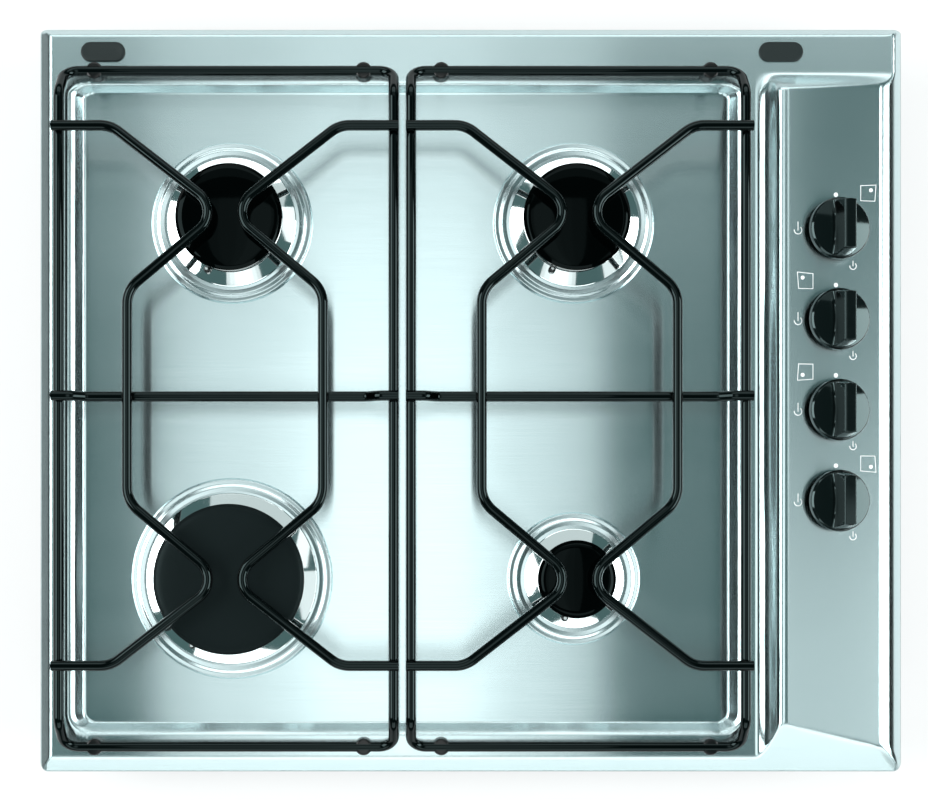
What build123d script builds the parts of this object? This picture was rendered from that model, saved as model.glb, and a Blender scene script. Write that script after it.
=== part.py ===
"""Built-in gas hob: a pressed steel plate with four burners, two wire pan supports and four taps.

Millimetres.  +X is to the right, +Y to the rear, +Z up.  The origin is under the middle of the plate,
at the height of the underside of the bottom case.
"""
from build123d import *
from math import cos, radians, sin, tan
import os

# ---------------------------------------------------------------- driving dimensions
# The hob plate, one pressed sheet
PLATE_WIDTH = 580.0
PLATE_DEPTH = 500.0
PLATE_CORNER_RADIUS = 5.0
SHEET = 0.8                      # thickness of every steel sheet
CASE_DEPTH = 46.0                # from the underside of the case to the face of the worktop
RIM_RISE = 6.0                   # from the worktop up to the flat rim
LEFT_SLOPE_RUN = 8.0             # how far each turned-down edge slopes inward
RIGHT_SLOPE_RUN = 8.7
FRONT_SLOPE_RUN = 10.5
REAR_SLOPE_RUN = 5.5
RIM_BEND = 2.5                   # bend radius between the rim and its slopes

# The well that holds the burners
WELL_DROP = 8.0                  # from the rim down to the well floor
WELL_LEFT = 18.0                 # rim width from each plate edge to the lip of the well
WELL_FRONT = 23.0
WELL_REAR = 37.0
WELL_RIGHT = 102.0
WELL_LEFT_RUN = 11.0             # how far each well wall slopes inward
WELL_FRONT_RUN = 10.0
WELL_REAR_RUN = 5.0
WELL_RIGHT_RUN = 17.0
WELL_CORNER_RADIUS = 12.0
WELL_BEND = 4.0                  # bend radius round the well floor

# The raised control panel, tilted down to the right
PANEL_RIDGE_INSET = 84.0         # from the right plate edge to the ridge
PANEL_RIDGE_RISE = 20.0          # from the worktop up to the ridge
PANEL_TILT = 8.1                 # degrees
PANEL_FLANK_RUN = 16.0           # the slope from the rim up to the ridge
PANEL_REAR_INSET = 32.0          # from the rear plate edge to the foot of the panel
PANEL_REAR_ANGLE = 43.0          # degrees
PANEL_ROLL_RADIUS = 20.0         # where the panel rolls over into the right edge
PANEL_EDGE_RADIUS = 3.0

# Burners: centres, and for each size the radii of cap, base flange and pressed ring
BURNER_LEFT_INSET = 129.0        # plate edges to the burner centres
BURNER_RIGHT_INSET = 220.5
BURNER_ROW_INSET = 130.0
AUXILIARY = {"cap": 26.0, "flange": 33.8, "ring": 45.0, "ports": 16, "electrode_angle": 254.7}
SEMI_RAPID = {"cap": 35.5, "flange": 43.7, "ring": 54.5, "ports": 24, "electrode_angle": 245.0}
RAPID = {"cap": 50.0, "flange": 57.75, "ring": 68.0, "ports": 32, "electrode_angle": 240.2}
RING_CREST = 3.4                 # heights above the well floor
FLANGE_UNDERSIDE = 5.0
FLANGE_TOP = 8.0
HEAD_TOP = 17.0
CAP_EDGE = 23.0
CAP_TOP = 25.5
CUP_CLEARANCE = 10.0             # under the cups, above the underside of the case
CUP_WALL = 2.0
CUP_FLOOR = 12.0                 # height of the injector's seat inside a cup
GAS_BOSS_HEIGHT = 6.0            # gas boss axis above the underside of a cup
GAS_BOSS_WALL = 2.5
GAS_BOSS_REACH = 8.0
CUP_INSET = 8.5                  # cup wall inside the cap's edge
HEAD_INSET = 2.5                 # port ring inside the cap's edge
PORT_RING_WALL = 4.0
PORT_WIDTH = 1.8
PORT_DEPTH = 4.0
MIXING_TUBE_SHARE = 0.26         # mixing tube radius as a share of the cap radius
ELECTRODE_RADIUS = 2.4
ELECTRODE_OFFSET = 1.0           # electrode axis outside the cap's edge
ELECTRODE_HOLE_GAP = 1.0         # room round the electrode in the sheet
ELECTRODE_TIP_RADIUS = 1.0
ELECTRODE_TIP_DROP = 1.5         # under the top of the port ring
CERAMIC_RISE = 4.5               # above the flange
CERAMIC_DROP = 24.0              # below the flange
INJECTOR_HEX = 4.6
INJECTOR_NUT = 5.0
INJECTOR_NOZZLE_RADIUS = 3.0
INJECTOR_NOZZLE = 3.0

# Pan supports: bent and welded round wire
WIRE = 6.8                       # rod diameter
WELD_SINK = 0.15                 # how far crossing rods are pressed together when welded
SUPPORT_LEFT_INSET = 128.6       # plate edges to the centre lines of the supports
SUPPORT_RIGHT_INSET = 220.7
SUPPORT_PAIR_GAP = 4.6           # between the side bars of the two supports
SUPPORT_FRONT_INSET = 18.5       # plate edges to the axes of the front and rear bars
SUPPORT_REAR_INSET = 31.8
FOOT_HEIGHT = 7.0                # rim to the axis of the front and rear bars
SIDE_BAR_LIFT = 16.0             # side bars above the front and rear bars
LIFT_RUN = 18.0                  # length over which a side bar climbs
CORNER_BEND = 10.0
LIFT_BEND = 12.0
FINGER_ENTRY_REACH = 55.8        # from the burner row out to where the fingers cross the side bars
FINGER_ENTRY_INSET = 35.35       # first bend of a finger wire, from the side bar
FINGER_TIP_X = 2.5               # where the two slopes of a finger would meet, from the centre line
FINGER_WAIST_INSET = 45.95       # straight middle stretch, from the side bar
FINGER_WAIST_REACH = 51.3        # from the burner row in to the end of the middle stretch
FINGER_TIP_BEND = 14.8
FINGER_BEND = 20.0
CROSSBAR_DIP_INSET = 8.65        # from the side bar to where the crossbar dips
CROSSBAR_DIP_RUN = 9.0
CROSSBAR_BEND = 7.0
FOOT_INSET = 20.15               # rubber feet from the side bars
FOOT_RADIUS = 5.8
FOOT_TOP_GAP = 0.6               # foot below the crown of its bar

# Knobs and taps, on axes square to the panel
KNOB_INSET = 48.0                # right plate edge to the knobs
KNOB_REAR_INSET = 138.0          # rear plate edge to the first knob
KNOB_PITCH = 60.0
KNOB_NAMES = ["rear_right", "rear_left", "front_left", "front_right"]
KNOB_RADIUS = 20.4
KNOB_GAP = 3.8                   # under the knob, room for the push
KNOB_SKIRT = 5.0
KNOB_SKIRT_CHAMFER = 1.2
KNOB_CROWN = 0.6                 # rise of the skirt's top to the middle
KNOB_HEIGHT = 19.4
KNOB_GRIP_WIDTH = 8.2            # across the top of the grip
KNOB_GRIP_DRAFT = 1.1            # each flank leans out by this much
KNOB_GRIP_FOOT = 3.0             # radius of the hollow at the foot of a flank
KNOB_GRIP_EDGE = 0.7
KNOB_GRIP_END_LEAN = 1.8
KNOB_WALL = 2.2
KNOB_HUB_RADIUS = 7.0
SPINDLE_RADIUS = 3.0
SPINDLE_FLAT = 2.0               # flat of the D-shaped end, from the axis
SPINDLE_TOP = 14.0
SPINDLE_ENGAGEMENT_START = 2.0   # the flat starts this far under the knob
PANEL_HOLE_RADIUS = 8.0
BONNET_DEPTH = 3.0               # from the panel's face down to the bonnet
BONNET_THICKNESS = 2.0
TAP_BODY_LENGTH = 26.0
TAP_BODY_RADIUS = 11.0
TAP_CHAMBER_RADIUS = 8.6
TAP_CHAMBER_DEPTH = 7.0
TAP_EAR_LENGTH = 38.0            # the two ears that take the bonnet's screws
TAP_EAR_WIDTH = 12.0
TAP_EAR_THICKNESS = 4.0
TAP_SCREW_OFFSET = 15.0
TAP_SCREW_RADIUS = 2.2
TAP_SCREW_HEAD = 1.4
TAP_NECK_RADIUS = 5.5            # boss towards the rail, and its spigot in the rail
TAP_SPIGOT_RADIUS = 4.0
TAP_OUTLET_LENGTH = 7.0
SWITCH_WIDTH = 10.0
SWITCH_LENGTH = 16.0
SWITCH_HEIGHT = 8.0
CONE_TOP_RADIUS = 8.0
CONE_BOTTOM_RADIUS = 6.4
CONE_LENGTH = 14.0
SLOT_WIDTH = 3.0
SLOT_DEPTH = 9.0
COLLAR_RADIUS = 6.5
COLLAR_THICKNESS = 1.6
TAP_PORT_DEPTH = 18.0            # gas inlet axis below the panel's face
OUTLET_DEPTH = 22.0
RAIL_REACH = 22.5                # tap axis to rail axis
RAIL_RADIUS = 6.5
RAIL_WALL = 1.5
RAIL_FRONT_REACH = 18.0          # beyond the last tap
RAIL_END_WALL = 3.0
PIPE_RADIUS = 3.0
PIPE_BEND = 14.0
PIPE_LEVEL_RUN = 46.0            # last straight stretch of a pipe, into its cup
PIPE_FALL_RUN = 18.0
PIPE_TAP_RUN = 21.0

# Gas inlet, a male half-inch pipe thread pointing down
INLET_INSET = 25.0               # rear wall of the case to the thread's axis
THREAD_RADIUS = 10.478
INLET_BORE = 7.0
INLET_END_Z = 4.0
THREAD_LENGTH = 15.0
ELBOW_SLEEVE = 12.0
ELBOW_WALL = 2.5
ELBOW_BALL_WALL = 3.5
POCKET_WIDTH = 42.0              # corner pocket of the case around the inlet
POCKET_DEPTH = 46.0
POCKET_HEIGHT = 22.0

# Bottom case and what hangs on it
CASE_SIDE_GAP = 13.0             # plate edge to case wall, so that the case enters the cut-out
CASE_REAR_GAP = 26.0             # the rear wall stands in front of the hinge slots
CASE_CORNER_RADIUS = 4.0
CLAMP_WIDTH = 22.0
CLAMP_THICKNESS = 1.5
CLAMP_END_INSET = 100.0          # from the front and rear plate edges
CLAMP_FOOT_Z = 6.0
CLAMP_HEIGHT = 26.0
CLAMP_SLOT_LENGTH = 12.0
CLAMP_SLOT_WIDTH = 4.6
CLAMP_SLOT_RISE = 16.9           # above the foot
CLAMP_SCREW_RADIUS = 2.0
CLAMP_SCREW_HEAD_RADIUS = 4.2
CLAMP_SCREW_HEAD = 1.5
SEAL_INSET = 4.2
SEAL_WIDTH = 4.0
SEAL_HEIGHT = 1.3
PLUG_LENGTH = 29.8
PLUG_WIDTH = 13.2
PLUG_LEFT_INSET = 43.3
PLUG_RIGHT_INSET = 82.3
PLUG_REAR_INSET = 16.8
PLUG_HEAD = 1.2
PLUG_SHANK = 4.0
PLUG_LEDGE = 1.5                 # head beyond the slot
GROMMET_INSET = 140.0            # right plate edge to the lead's bush
GROMMET_Z = 20.0
GROMMET_RADIUS = 7.0             # hole in the case wall
GROMMET_LIP = 2.0
GROMMET_REACH = 3.0              # to each side of the wall
CABLE_RADIUS = 3.6
UNIT_INSET = 195.0               # right plate edge to the spark generator
UNIT_Y = -48.0
UNIT_LENGTH = 62.0
UNIT_WIDTH = 36.0
UNIT_HEIGHT = 24.0
UNIT_CORNER_RADIUS = 3.0
FIT = 0.1                        # clearance of parts that turn or slide in one another
SEAT_GAP = 0.3                   # clearance beside parts that only lie close

# ---------------------------------------------------------------- levels and places worked out from them
LEFT = -PLATE_WIDTH / 2
RIGHT = PLATE_WIDTH / 2
FRONT = -PLATE_DEPTH / 2
REAR = PLATE_DEPTH / 2
RIM_Z = CASE_DEPTH + RIM_RISE
FLOOR_Z = RIM_Z - WELL_DROP
BURNER_LEFT_X = LEFT + BURNER_LEFT_INSET
BURNER_RIGHT_X = RIGHT - BURNER_RIGHT_INSET
BURNER_ROW_Y = REAR - BURNER_ROW_INSET
BURNERS = {
    "rear_left": (BURNER_LEFT_X, BURNER_ROW_Y, SEMI_RAPID),
    "rear_right": (BURNER_RIGHT_X, BURNER_ROW_Y, SEMI_RAPID),
    "front_left": (BURNER_LEFT_X, -BURNER_ROW_Y, RAPID),
    "front_right": (BURNER_RIGHT_X, -BURNER_ROW_Y, AUXILIARY),
}
CUP_BOTTOM = CUP_CLEARANCE - FLOOR_Z
PIPE_Z = CUP_CLEARANCE + GAS_BOSS_HEIGHT
SUPPORT_LEFT_X = LEFT + SUPPORT_LEFT_INSET
SUPPORT_RIGHT_X = RIGHT - SUPPORT_RIGHT_INSET
SUPPORT_HALF_WIDTH = (SUPPORT_RIGHT_X - SUPPORT_LEFT_X - WIRE - SUPPORT_PAIR_GAP) / 2
SUPPORT_FRONT_Y = FRONT + SUPPORT_FRONT_INSET
SUPPORT_REAR_Y = REAR - SUPPORT_REAR_INSET
BAR_Z = RIM_Z + FOOT_HEIGHT
SIDE_BAR_Z = BAR_Z + SIDE_BAR_LIFT
FINGER_Z = SIDE_BAR_Z + WIRE - WELD_SINK
CROSSBAR_Z = FINGER_Z - WIRE + WELD_SINK
RIDGE_X = RIGHT - PANEL_RIDGE_INSET
RIDGE_Z = CASE_DEPTH + PANEL_RIDGE_RISE
PANEL_FOOT_Y = REAR - PANEL_REAR_INSET
CASE_RIGHT = RIGHT - CASE_SIDE_GAP
CASE_FRONT = FRONT + CASE_SIDE_GAP
CASE_REAR = REAR - CASE_REAR_GAP
KNOB_X = RIGHT - KNOB_INSET
KNOB_REAR_Y = REAR - KNOB_REAR_INSET
RAIL_FRONT_Y = KNOB_REAR_Y - (len(KNOB_NAMES) - 1) * KNOB_PITCH - RAIL_FRONT_REACH
INLET_Y = CASE_REAR - INLET_INSET
CONE_TOP_DEPTH = BONNET_DEPTH + BONNET_THICKNESS + TAP_CHAMBER_DEPTH
PANEL_NORMAL = Vector(sin(radians(PANEL_TILT)), 0, cos(radians(PANEL_TILT)))
PANEL_DOWNHILL = Vector(cos(radians(PANEL_TILT)), 0, -sin(radians(PANEL_TILT)))
PLUG_PLACES = [(LEFT + PLUG_LEFT_INSET, REAR - PLUG_REAR_INSET), (RIGHT - PLUG_RIGHT_INSET, REAR - PLUG_REAR_INSET)]


def panel_height(x):
    """Height of the panel's face at x."""
    return RIDGE_Z - (x - RIDGE_X) * tan(radians(PANEL_TILT))


def tap_place(number):
    """Frame of one tap: origin on the panel's face, z out of the panel, x down its slope."""
    centre = (KNOB_X, KNOB_REAR_Y - number * KNOB_PITCH, panel_height(KNOB_X))
    return Plane(origin=centre, x_dir=PANEL_DOWNHILL, z_dir=PANEL_NORMAL).location


def solid_box(x_low, x_high, y_low, y_high, z_low, z_high):
    """A box between two corners."""
    block = Box(x_high - x_low, y_high - y_low, z_high - z_low)
    return Pos((x_low + x_high) / 2, (y_low + y_high) / 2, (z_low + z_high) / 2) * block


def rod(radius, length, start=(0, 0, 0), direction=(0, 0, 1)):
    """A round bar from start along direction."""
    return Plane(origin=start, z_dir=direction).location * extrude(Circle(radius), length)


def turned(points):
    """A solid of revolution about the z axis from (radius, height) points."""
    return revolve(Plane.XZ * make_face(Polyline(*points, close=True)), Axis.Z)


def wire_rod(points, bends, radius):
    """A bent round bar through points, with one bend radius for each corner."""
    path = FilletPolyline(*points, radius=bends)
    section = Plane(origin=path @ 0, z_dir=path % 0) * Circle(radius)
    return sweep(section, path=path)


# ---------------------------------------------------------------- hob plate
def cut_to_slope(block, axis, side, low, high, z_low, z_high, inset):
    """Trim a block to a flat side that runs from low at z_low to high at z_high."""
    rise = z_high - z_low
    run = high - low
    if axis == "x":
        normal = Vector(side * rise, 0, -side * run).normalized()
        foot = Vector(low, 0, z_low)
    else:
        normal = Vector(0, side * rise, -side * run).normalized()
        foot = Vector(0, low, z_low)
    return split(block, bisect_by=Plane(origin=foot - normal * inset, z_dir=normal), keep=Keep.BOTTOM)


def round_corners(block, radius):
    """Round the four leaning corner edges of a sloped block."""
    leaning = [edge for edge in block.edges() if abs((edge % 0.5).Z) > 0.2]
    return fillet(leaning, radius)


def rim_form(inset):
    """The space under the rim and its four turned-down edges, shrunk by inset."""
    below = SHEET if inset else 0.0
    form = solid_box(LEFT - 2, RIGHT + 2, FRONT - 2, REAR + 2, CASE_DEPTH - below, RIM_Z - inset)
    form = cut_to_slope(form, "x", -1, LEFT, LEFT + LEFT_SLOPE_RUN, CASE_DEPTH, RIM_Z, inset)
    form = cut_to_slope(form, "x", 1, RIGHT, RIGHT - RIGHT_SLOPE_RUN, CASE_DEPTH, RIM_Z, inset)
    form = cut_to_slope(form, "y", -1, FRONT, FRONT + FRONT_SLOPE_RUN, CASE_DEPTH, RIM_Z, inset)
    form = cut_to_slope(form, "y", 1, REAR, REAR - REAR_SLOPE_RUN, CASE_DEPTH, RIM_Z, inset)
    form = round_corners(form, PLATE_CORNER_RADIUS - inset)
    return fillet(form.faces().sort_by(Axis.Z)[-1].edges(), RIM_BEND - inset)


def panel_form(inset):
    """The space under the raised control panel, shrunk by inset."""
    below = SHEET if inset else 0.0
    form = solid_box(RIDGE_X - 40, RIGHT + 2, FRONT - 2, REAR, CASE_DEPTH - below, RIDGE_Z + 10)
    flank_foot = RIDGE_X - PANEL_FLANK_RUN
    rear_run = (RIDGE_Z - RIM_Z) / tan(radians(PANEL_REAR_ANGLE))
    form = cut_to_slope(form, "x", -1, flank_foot, RIDGE_X, RIM_Z, RIDGE_Z, inset)
    form = cut_to_slope(form, "x", 1, RIGHT, RIGHT - RIGHT_SLOPE_RUN, CASE_DEPTH, RIM_Z, inset)
    form = cut_to_slope(form, "y", -1, FRONT, FRONT + FRONT_SLOPE_RUN, CASE_DEPTH, RIM_Z, inset)
    form = cut_to_slope(form, "y", 1, PANEL_FOOT_Y, PANEL_FOOT_Y - rear_run, RIM_Z, RIDGE_Z, inset)
    face = Vector(RIDGE_X, 0, RIDGE_Z) - PANEL_NORMAL * inset
    form = split(form, bisect_by=Plane(origin=face, z_dir=PANEL_NORMAL), keep=Keep.BOTTOM)
    top_edges = form.faces().sort_by(Axis.Z)[-1].edges()
    form = fillet(top_edges.sort_by(Axis.X)[-1:], PANEL_ROLL_RADIUS - inset)
    ridge = form.edges().filter_by(Axis.Y).sort_by(Axis.Z)[-1:]
    return fillet(ridge, PANEL_EDGE_RADIUS - inset)


def well_form(inset):
    """The hollow of the well; a negative inset grows it by the sheet."""
    lip_left = LEFT + WELL_LEFT
    lip_right = RIGHT - WELL_RIGHT
    lip_front = FRONT + WELL_FRONT
    lip_rear = REAR - WELL_REAR
    form = solid_box(lip_left - 5, lip_right + 5, lip_front - 5, lip_rear + 5, FLOOR_Z + inset, RIM_Z)
    form = cut_to_slope(form, "x", -1, lip_left + WELL_LEFT_RUN, lip_left, FLOOR_Z, RIM_Z, inset)
    form = cut_to_slope(form, "x", 1, lip_right - WELL_RIGHT_RUN, lip_right, FLOOR_Z, RIM_Z, inset)
    form = cut_to_slope(form, "y", -1, lip_front + WELL_FRONT_RUN, lip_front, FLOOR_Z, RIM_Z, inset)
    form = cut_to_slope(form, "y", 1, lip_rear - WELL_REAR_RUN, lip_rear, FLOOR_Z, RIM_Z, inset)
    form = round_corners(form, WELL_CORNER_RADIUS - inset)
    return fillet(form.faces().sort_by(Axis.Z)[0].edges(), WELL_BEND - inset)


def hob_plate():
    """Pressed sheet with its turned-down edges, panel and well, and its punched holes."""
    skin = rim_form(0) + panel_form(0) - (rim_form(SHEET) + panel_form(SHEET))
    pan = well_form(-SHEET)
    plate = skin - pan + (pan - well_form(0))
    for x, y, size in BURNERS.values():
        plate -= Pos(x, y, FLOOR_Z) * Cylinder(size["cap"] - CUP_INSET + SEAT_GAP, 4 * SHEET)
        plate -= Pos(x, y, FLOOR_Z) * electrode_hole(size, ELECTRODE_HOLE_GAP)
    for number in range(len(KNOB_NAMES)):
        plate -= tap_place(number) * Cylinder(PANEL_HOLE_RADIUS, 6 * SHEET)
    for x, y in PLUG_PLACES:
        slot = SlotOverall(PLUG_LENGTH - 2 * PLUG_LEDGE, PLUG_WIDTH - 2 * PLUG_LEDGE)
        plate -= Pos(x, y, RIM_Z - 2 * SHEET) * extrude(slot, 4 * SHEET)
    return plate


def hinge_slot_plugs():
    """Two push-in caps that close the slots where a lid's hinges would go."""
    plugs = []
    for x, y in PLUG_PLACES:
        head = extrude(SlotOverall(PLUG_LENGTH, PLUG_WIDTH), PLUG_HEAD)
        head = fillet(head.faces().sort_by(Axis.Z)[-1].edges(), PLUG_HEAD / 2)
        ledge = PLUG_LEDGE + FIT
        shank = extrude(SlotOverall(PLUG_LENGTH - 2 * ledge, PLUG_WIDTH - 2 * ledge), -PLUG_SHANK)
        plugs.append(Pos(x, y, RIM_Z) * (head + shank))
    return Compound(plugs)


# ---------------------------------------------------------------- burners
def electrode_hole(size, gap):
    """What the spark electrode passes through, seen from its burner's centre."""
    angle = radians(size["electrode_angle"])
    reach = size["cap"] + ELECTRODE_OFFSET
    return Pos(reach * cos(angle), reach * sin(angle), 0) * Cylinder(ELECTRODE_RADIUS + gap, 40)


def burner_ring(size):
    """Pressed ring round a burner: an outer bead, a groove, a ridge and a seat for the base."""
    edge = size["ring"]
    lip = size["flange"]
    bore = size["cap"] - CUP_INSET
    crest = [(edge, 0), (edge - 2.4, RING_CREST - 0.4), (edge - 4, RING_CREST - 1.4), (edge - 6, RING_CREST),
             (edge - 8.5, RING_CREST - 1), (lip - 6, RING_CREST - 1), (lip - 7.5, FLANGE_UNDERSIDE),
             (bore + SEAT_GAP, FLANGE_UNDERSIDE)]
    back = [(bore + SEAT_GAP, FLANGE_UNDERSIDE - SHEET), (lip - 8, FLANGE_UNDERSIDE - SHEET),
            (lip - 6.5, RING_CREST - 1 - SHEET), (edge - 6, RING_CREST - 1 - SHEET), (edge - 1.2, 0)]
    return turned(crest + back) - electrode_hole(size, ELECTRODE_HOLE_GAP)


def burner_cup(size):
    """Cast base: a polished flange above the ring and a cup below the plate with the gas boss."""
    lip = size["flange"]
    head = size["cap"] - HEAD_INSET
    outer = size["cap"] - CUP_INSET
    inner = outer - CUP_WALL
    profile = [(inner, FLANGE_TOP), (head, FLANGE_TOP), (lip - 1, FLANGE_TOP - 1), (lip, FLANGE_TOP - 2),
               (lip - 0.5, FLANGE_UNDERSIDE), (outer, FLANGE_UNDERSIDE), (outer, CUP_BOTTOM),
               (0, CUP_BOTTOM), (0, CUP_BOTTOM + CUP_FLOOR), (INJECTOR_HEX + 2, CUP_BOTTOM + CUP_FLOOR),
               (INJECTOR_HEX + 4, CUP_BOTTOM + CUP_WALL), (inner, CUP_BOTTOM + CUP_WALL)]
    cup = turned(profile)
    boss_z = CUP_BOTTOM + GAS_BOSS_HEIGHT
    cup += rod(PIPE_RADIUS + GAS_BOSS_WALL, outer + GAS_BOSS_REACH, (0, 0, boss_z), (1, 0, 0))
    cup -= rod(PIPE_RADIUS + FIT, GAS_BOSS_REACH + 1, (outer, 0, boss_z), (1, 0, 0))
    return cup - electrode_hole(size, FIT)


def gas_injector(size):
    """Brass nozzle in the middle of a cup."""
    nut = extrude(RegularPolygon(INJECTOR_HEX, 6), INJECTOR_NUT)
    nozzle = rod(INJECTOR_NOZZLE_RADIUS, INJECTOR_NOZZLE, (0, 0, INJECTOR_NUT))
    return Pos(0, 0, CUP_BOTTOM + CUP_FLOOR) * (nut + nozzle)


def spark_electrode(size):
    """Ceramic pin with a steel tip that stands up through the flange beside the port ring."""
    angle = radians(size["electrode_angle"])
    reach = size["cap"] + ELECTRODE_OFFSET
    ceramic_top = FLANGE_TOP + CERAMIC_RISE
    tip_top = HEAD_TOP - ELECTRODE_TIP_DROP
    foot = FLANGE_UNDERSIDE - CERAMIC_DROP
    neck = (ELECTRODE_RADIUS + ELECTRODE_TIP_RADIUS) / 2
    pin = turned([(0, foot), (ELECTRODE_RADIUS, foot), (ELECTRODE_RADIUS, ceramic_top - ELECTRODE_TIP_RADIUS),
                  (neck, ceramic_top), (ELECTRODE_TIP_RADIUS, ceramic_top), (ELECTRODE_TIP_RADIUS, tip_top),
                  (0, tip_top)])
    return Pos(reach * cos(angle), reach * sin(angle), 0) * pin


def burner_head(size):
    """Flame spreader: mixing tube, floor and a port ring slotted all the way round."""
    rim = size["cap"] - HEAD_INSET
    skirt = size["cap"] - CUP_INSET - CUP_WALL - SEAT_GAP
    tube = size["cap"] * MIXING_TUBE_SHARE
    floor_top = FLANGE_TOP + 2
    head = turned([(rim, FLANGE_TOP), (rim, HEAD_TOP - 1), (rim - 1, HEAD_TOP),
                   (rim - PORT_RING_WALL, HEAD_TOP), (rim - PORT_RING_WALL, floor_top),
                   (tube, floor_top), (tube - 2, floor_top - 2), (tube - 2, -10), (tube, -10),
                   (tube, FLANGE_TOP), (skirt - 2, FLANGE_TOP), (skirt - 2, FLANGE_UNDERSIDE - 1),
                   (skirt, FLANGE_UNDERSIDE - 1), (skirt, FLANGE_TOP)])
    slot = solid_box(rim - PORT_RING_WALL - 2, rim + 2, -PORT_WIDTH / 2, PORT_WIDTH / 2,
                     HEAD_TOP - PORT_DEPTH, HEAD_TOP + 1)
    ports = size["ports"]
    return head - [Rot(0, 0, (index + 0.5) * 360 / ports) * slot for index in range(ports)]


def burner_cap(size):
    """Enamelled lid of a burner, bevelled at the edge and slightly crowned."""
    edge = size["cap"]
    locator = edge - HEAD_INSET - PORT_RING_WALL - SEAT_GAP
    reach = edge - 2
    rise = CAP_TOP - CAP_EDGE - 1
    crown_radius = (reach ** 2 + rise ** 2) / (2 * rise)
    middle = CAP_TOP - crown_radius + (crown_radius ** 2 - (reach / 2) ** 2) ** 0.5
    crown = ThreePointArc((reach, CAP_EDGE + 1), (reach / 2, middle), (0, CAP_TOP))
    side = Polyline((0, CAP_TOP), (0, HEAD_TOP + 2), (locator - 3, HEAD_TOP + 2), (locator - 3, HEAD_TOP - 2),
                    (locator, HEAD_TOP - 2), (locator, HEAD_TOP), (edge, HEAD_TOP), (edge, CAP_EDGE - 1),
                    (reach, CAP_EDGE + 1))
    return revolve(Plane.XZ * make_face([crown, side]), Axis.Z)


def at_burner(name, shape_of):
    """Build a burner piece and put it at its burner, on the well floor."""
    x, y, size = BURNERS[name]
    return Pos(x, y, FLOOR_Z) * shape_of(size)


# ---------------------------------------------------------------- pan supports
def support_frame():
    """Closed loop of rod: low front and rear bars, side bars that climb and run high."""
    low = [(0, SUPPORT_FRONT_Y, BAR_Z), (SUPPORT_HALF_WIDTH, SUPPORT_FRONT_Y, BAR_Z)]
    high = [(SUPPORT_HALF_WIDTH, SUPPORT_FRONT_Y + LIFT_RUN, SIDE_BAR_Z),
            (SUPPORT_HALF_WIDTH, SUPPORT_REAR_Y - LIFT_RUN, SIDE_BAR_Z)]
    rear = [(SUPPORT_HALF_WIDTH, SUPPORT_REAR_Y, BAR_Z), (0, SUPPORT_REAR_Y, BAR_Z)]
    bends = [CORNER_BEND, LIFT_BEND, LIFT_BEND, CORNER_BEND]
    half = wire_rod(low + high + rear, bends, WIRE / 2)
    return half + mirror(half, about=Plane.YZ)


def finger_wire(side):
    """One long bent finger: in over the rear burner, along the waist, in over the front burner."""
    end = SUPPORT_HALF_WIDTH + WIRE / 2
    entry_y = BURNER_ROW_Y + FINGER_ENTRY_REACH
    rear_half = [(end, entry_y), (SUPPORT_HALF_WIDTH - FINGER_ENTRY_INSET, entry_y), (FINGER_TIP_X, BURNER_ROW_Y),
                 (SUPPORT_HALF_WIDTH - FINGER_WAIST_INSET, BURNER_ROW_Y - FINGER_WAIST_REACH)]
    plan = rear_half + [(x, -y) for x, y in reversed(rear_half)]
    bends = [FINGER_BEND, FINGER_TIP_BEND, FINGER_BEND, FINGER_BEND, FINGER_TIP_BEND, FINGER_BEND]
    return wire_rod([(side * x, y, FINGER_Z) for x, y in plan], bends, WIRE / 2)


def support_crossbar():
    """Middle bar: its ends lie on the side bars, then it dips and runs under the fingers."""
    end = SUPPORT_HALF_WIDTH + WIRE / 2
    dip = SUPPORT_HALF_WIDTH - CROSSBAR_DIP_INSET
    half = [(-end, 0, FINGER_Z), (-dip, 0, FINGER_Z), (CROSSBAR_DIP_RUN - dip, 0, CROSSBAR_Z)]
    points = half + [(-x, y, z) for x, y, z in reversed(half)]
    return wire_rod(points, [CROSSBAR_BEND] * 4, WIRE / 2)


def support_feet():
    """Four rubber feet pushed on the front and rear bars, standing on the rim."""
    feet = []
    for y in (SUPPORT_FRONT_Y, SUPPORT_REAR_Y):
        for x in (FOOT_INSET - SUPPORT_HALF_WIDTH, SUPPORT_HALF_WIDTH - FOOT_INSET):
            foot = rod(FOOT_RADIUS, FOOT_HEIGHT + WIRE / 2 - FOOT_TOP_GAP, (x, y, RIM_Z))
            foot -= rod(WIRE / 2 + FIT / 2, 3 * FOOT_RADIUS, (x - 1.5 * FOOT_RADIUS, y, BAR_Z), (1, 0, 0))
            feet += foot.solids()
    return Compound(feet)


# ---------------------------------------------------------------- knobs and taps, in the tap's own frame
def d_shaft(radius, flat, low, high):
    """A shaft with one flat, which drives the knob."""
    shaft = rod(radius, high - low, (0, 0, low))
    return shaft - solid_box(flat, radius + 2, -radius - 1, radius + 1, low - 1, high + 1)


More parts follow.
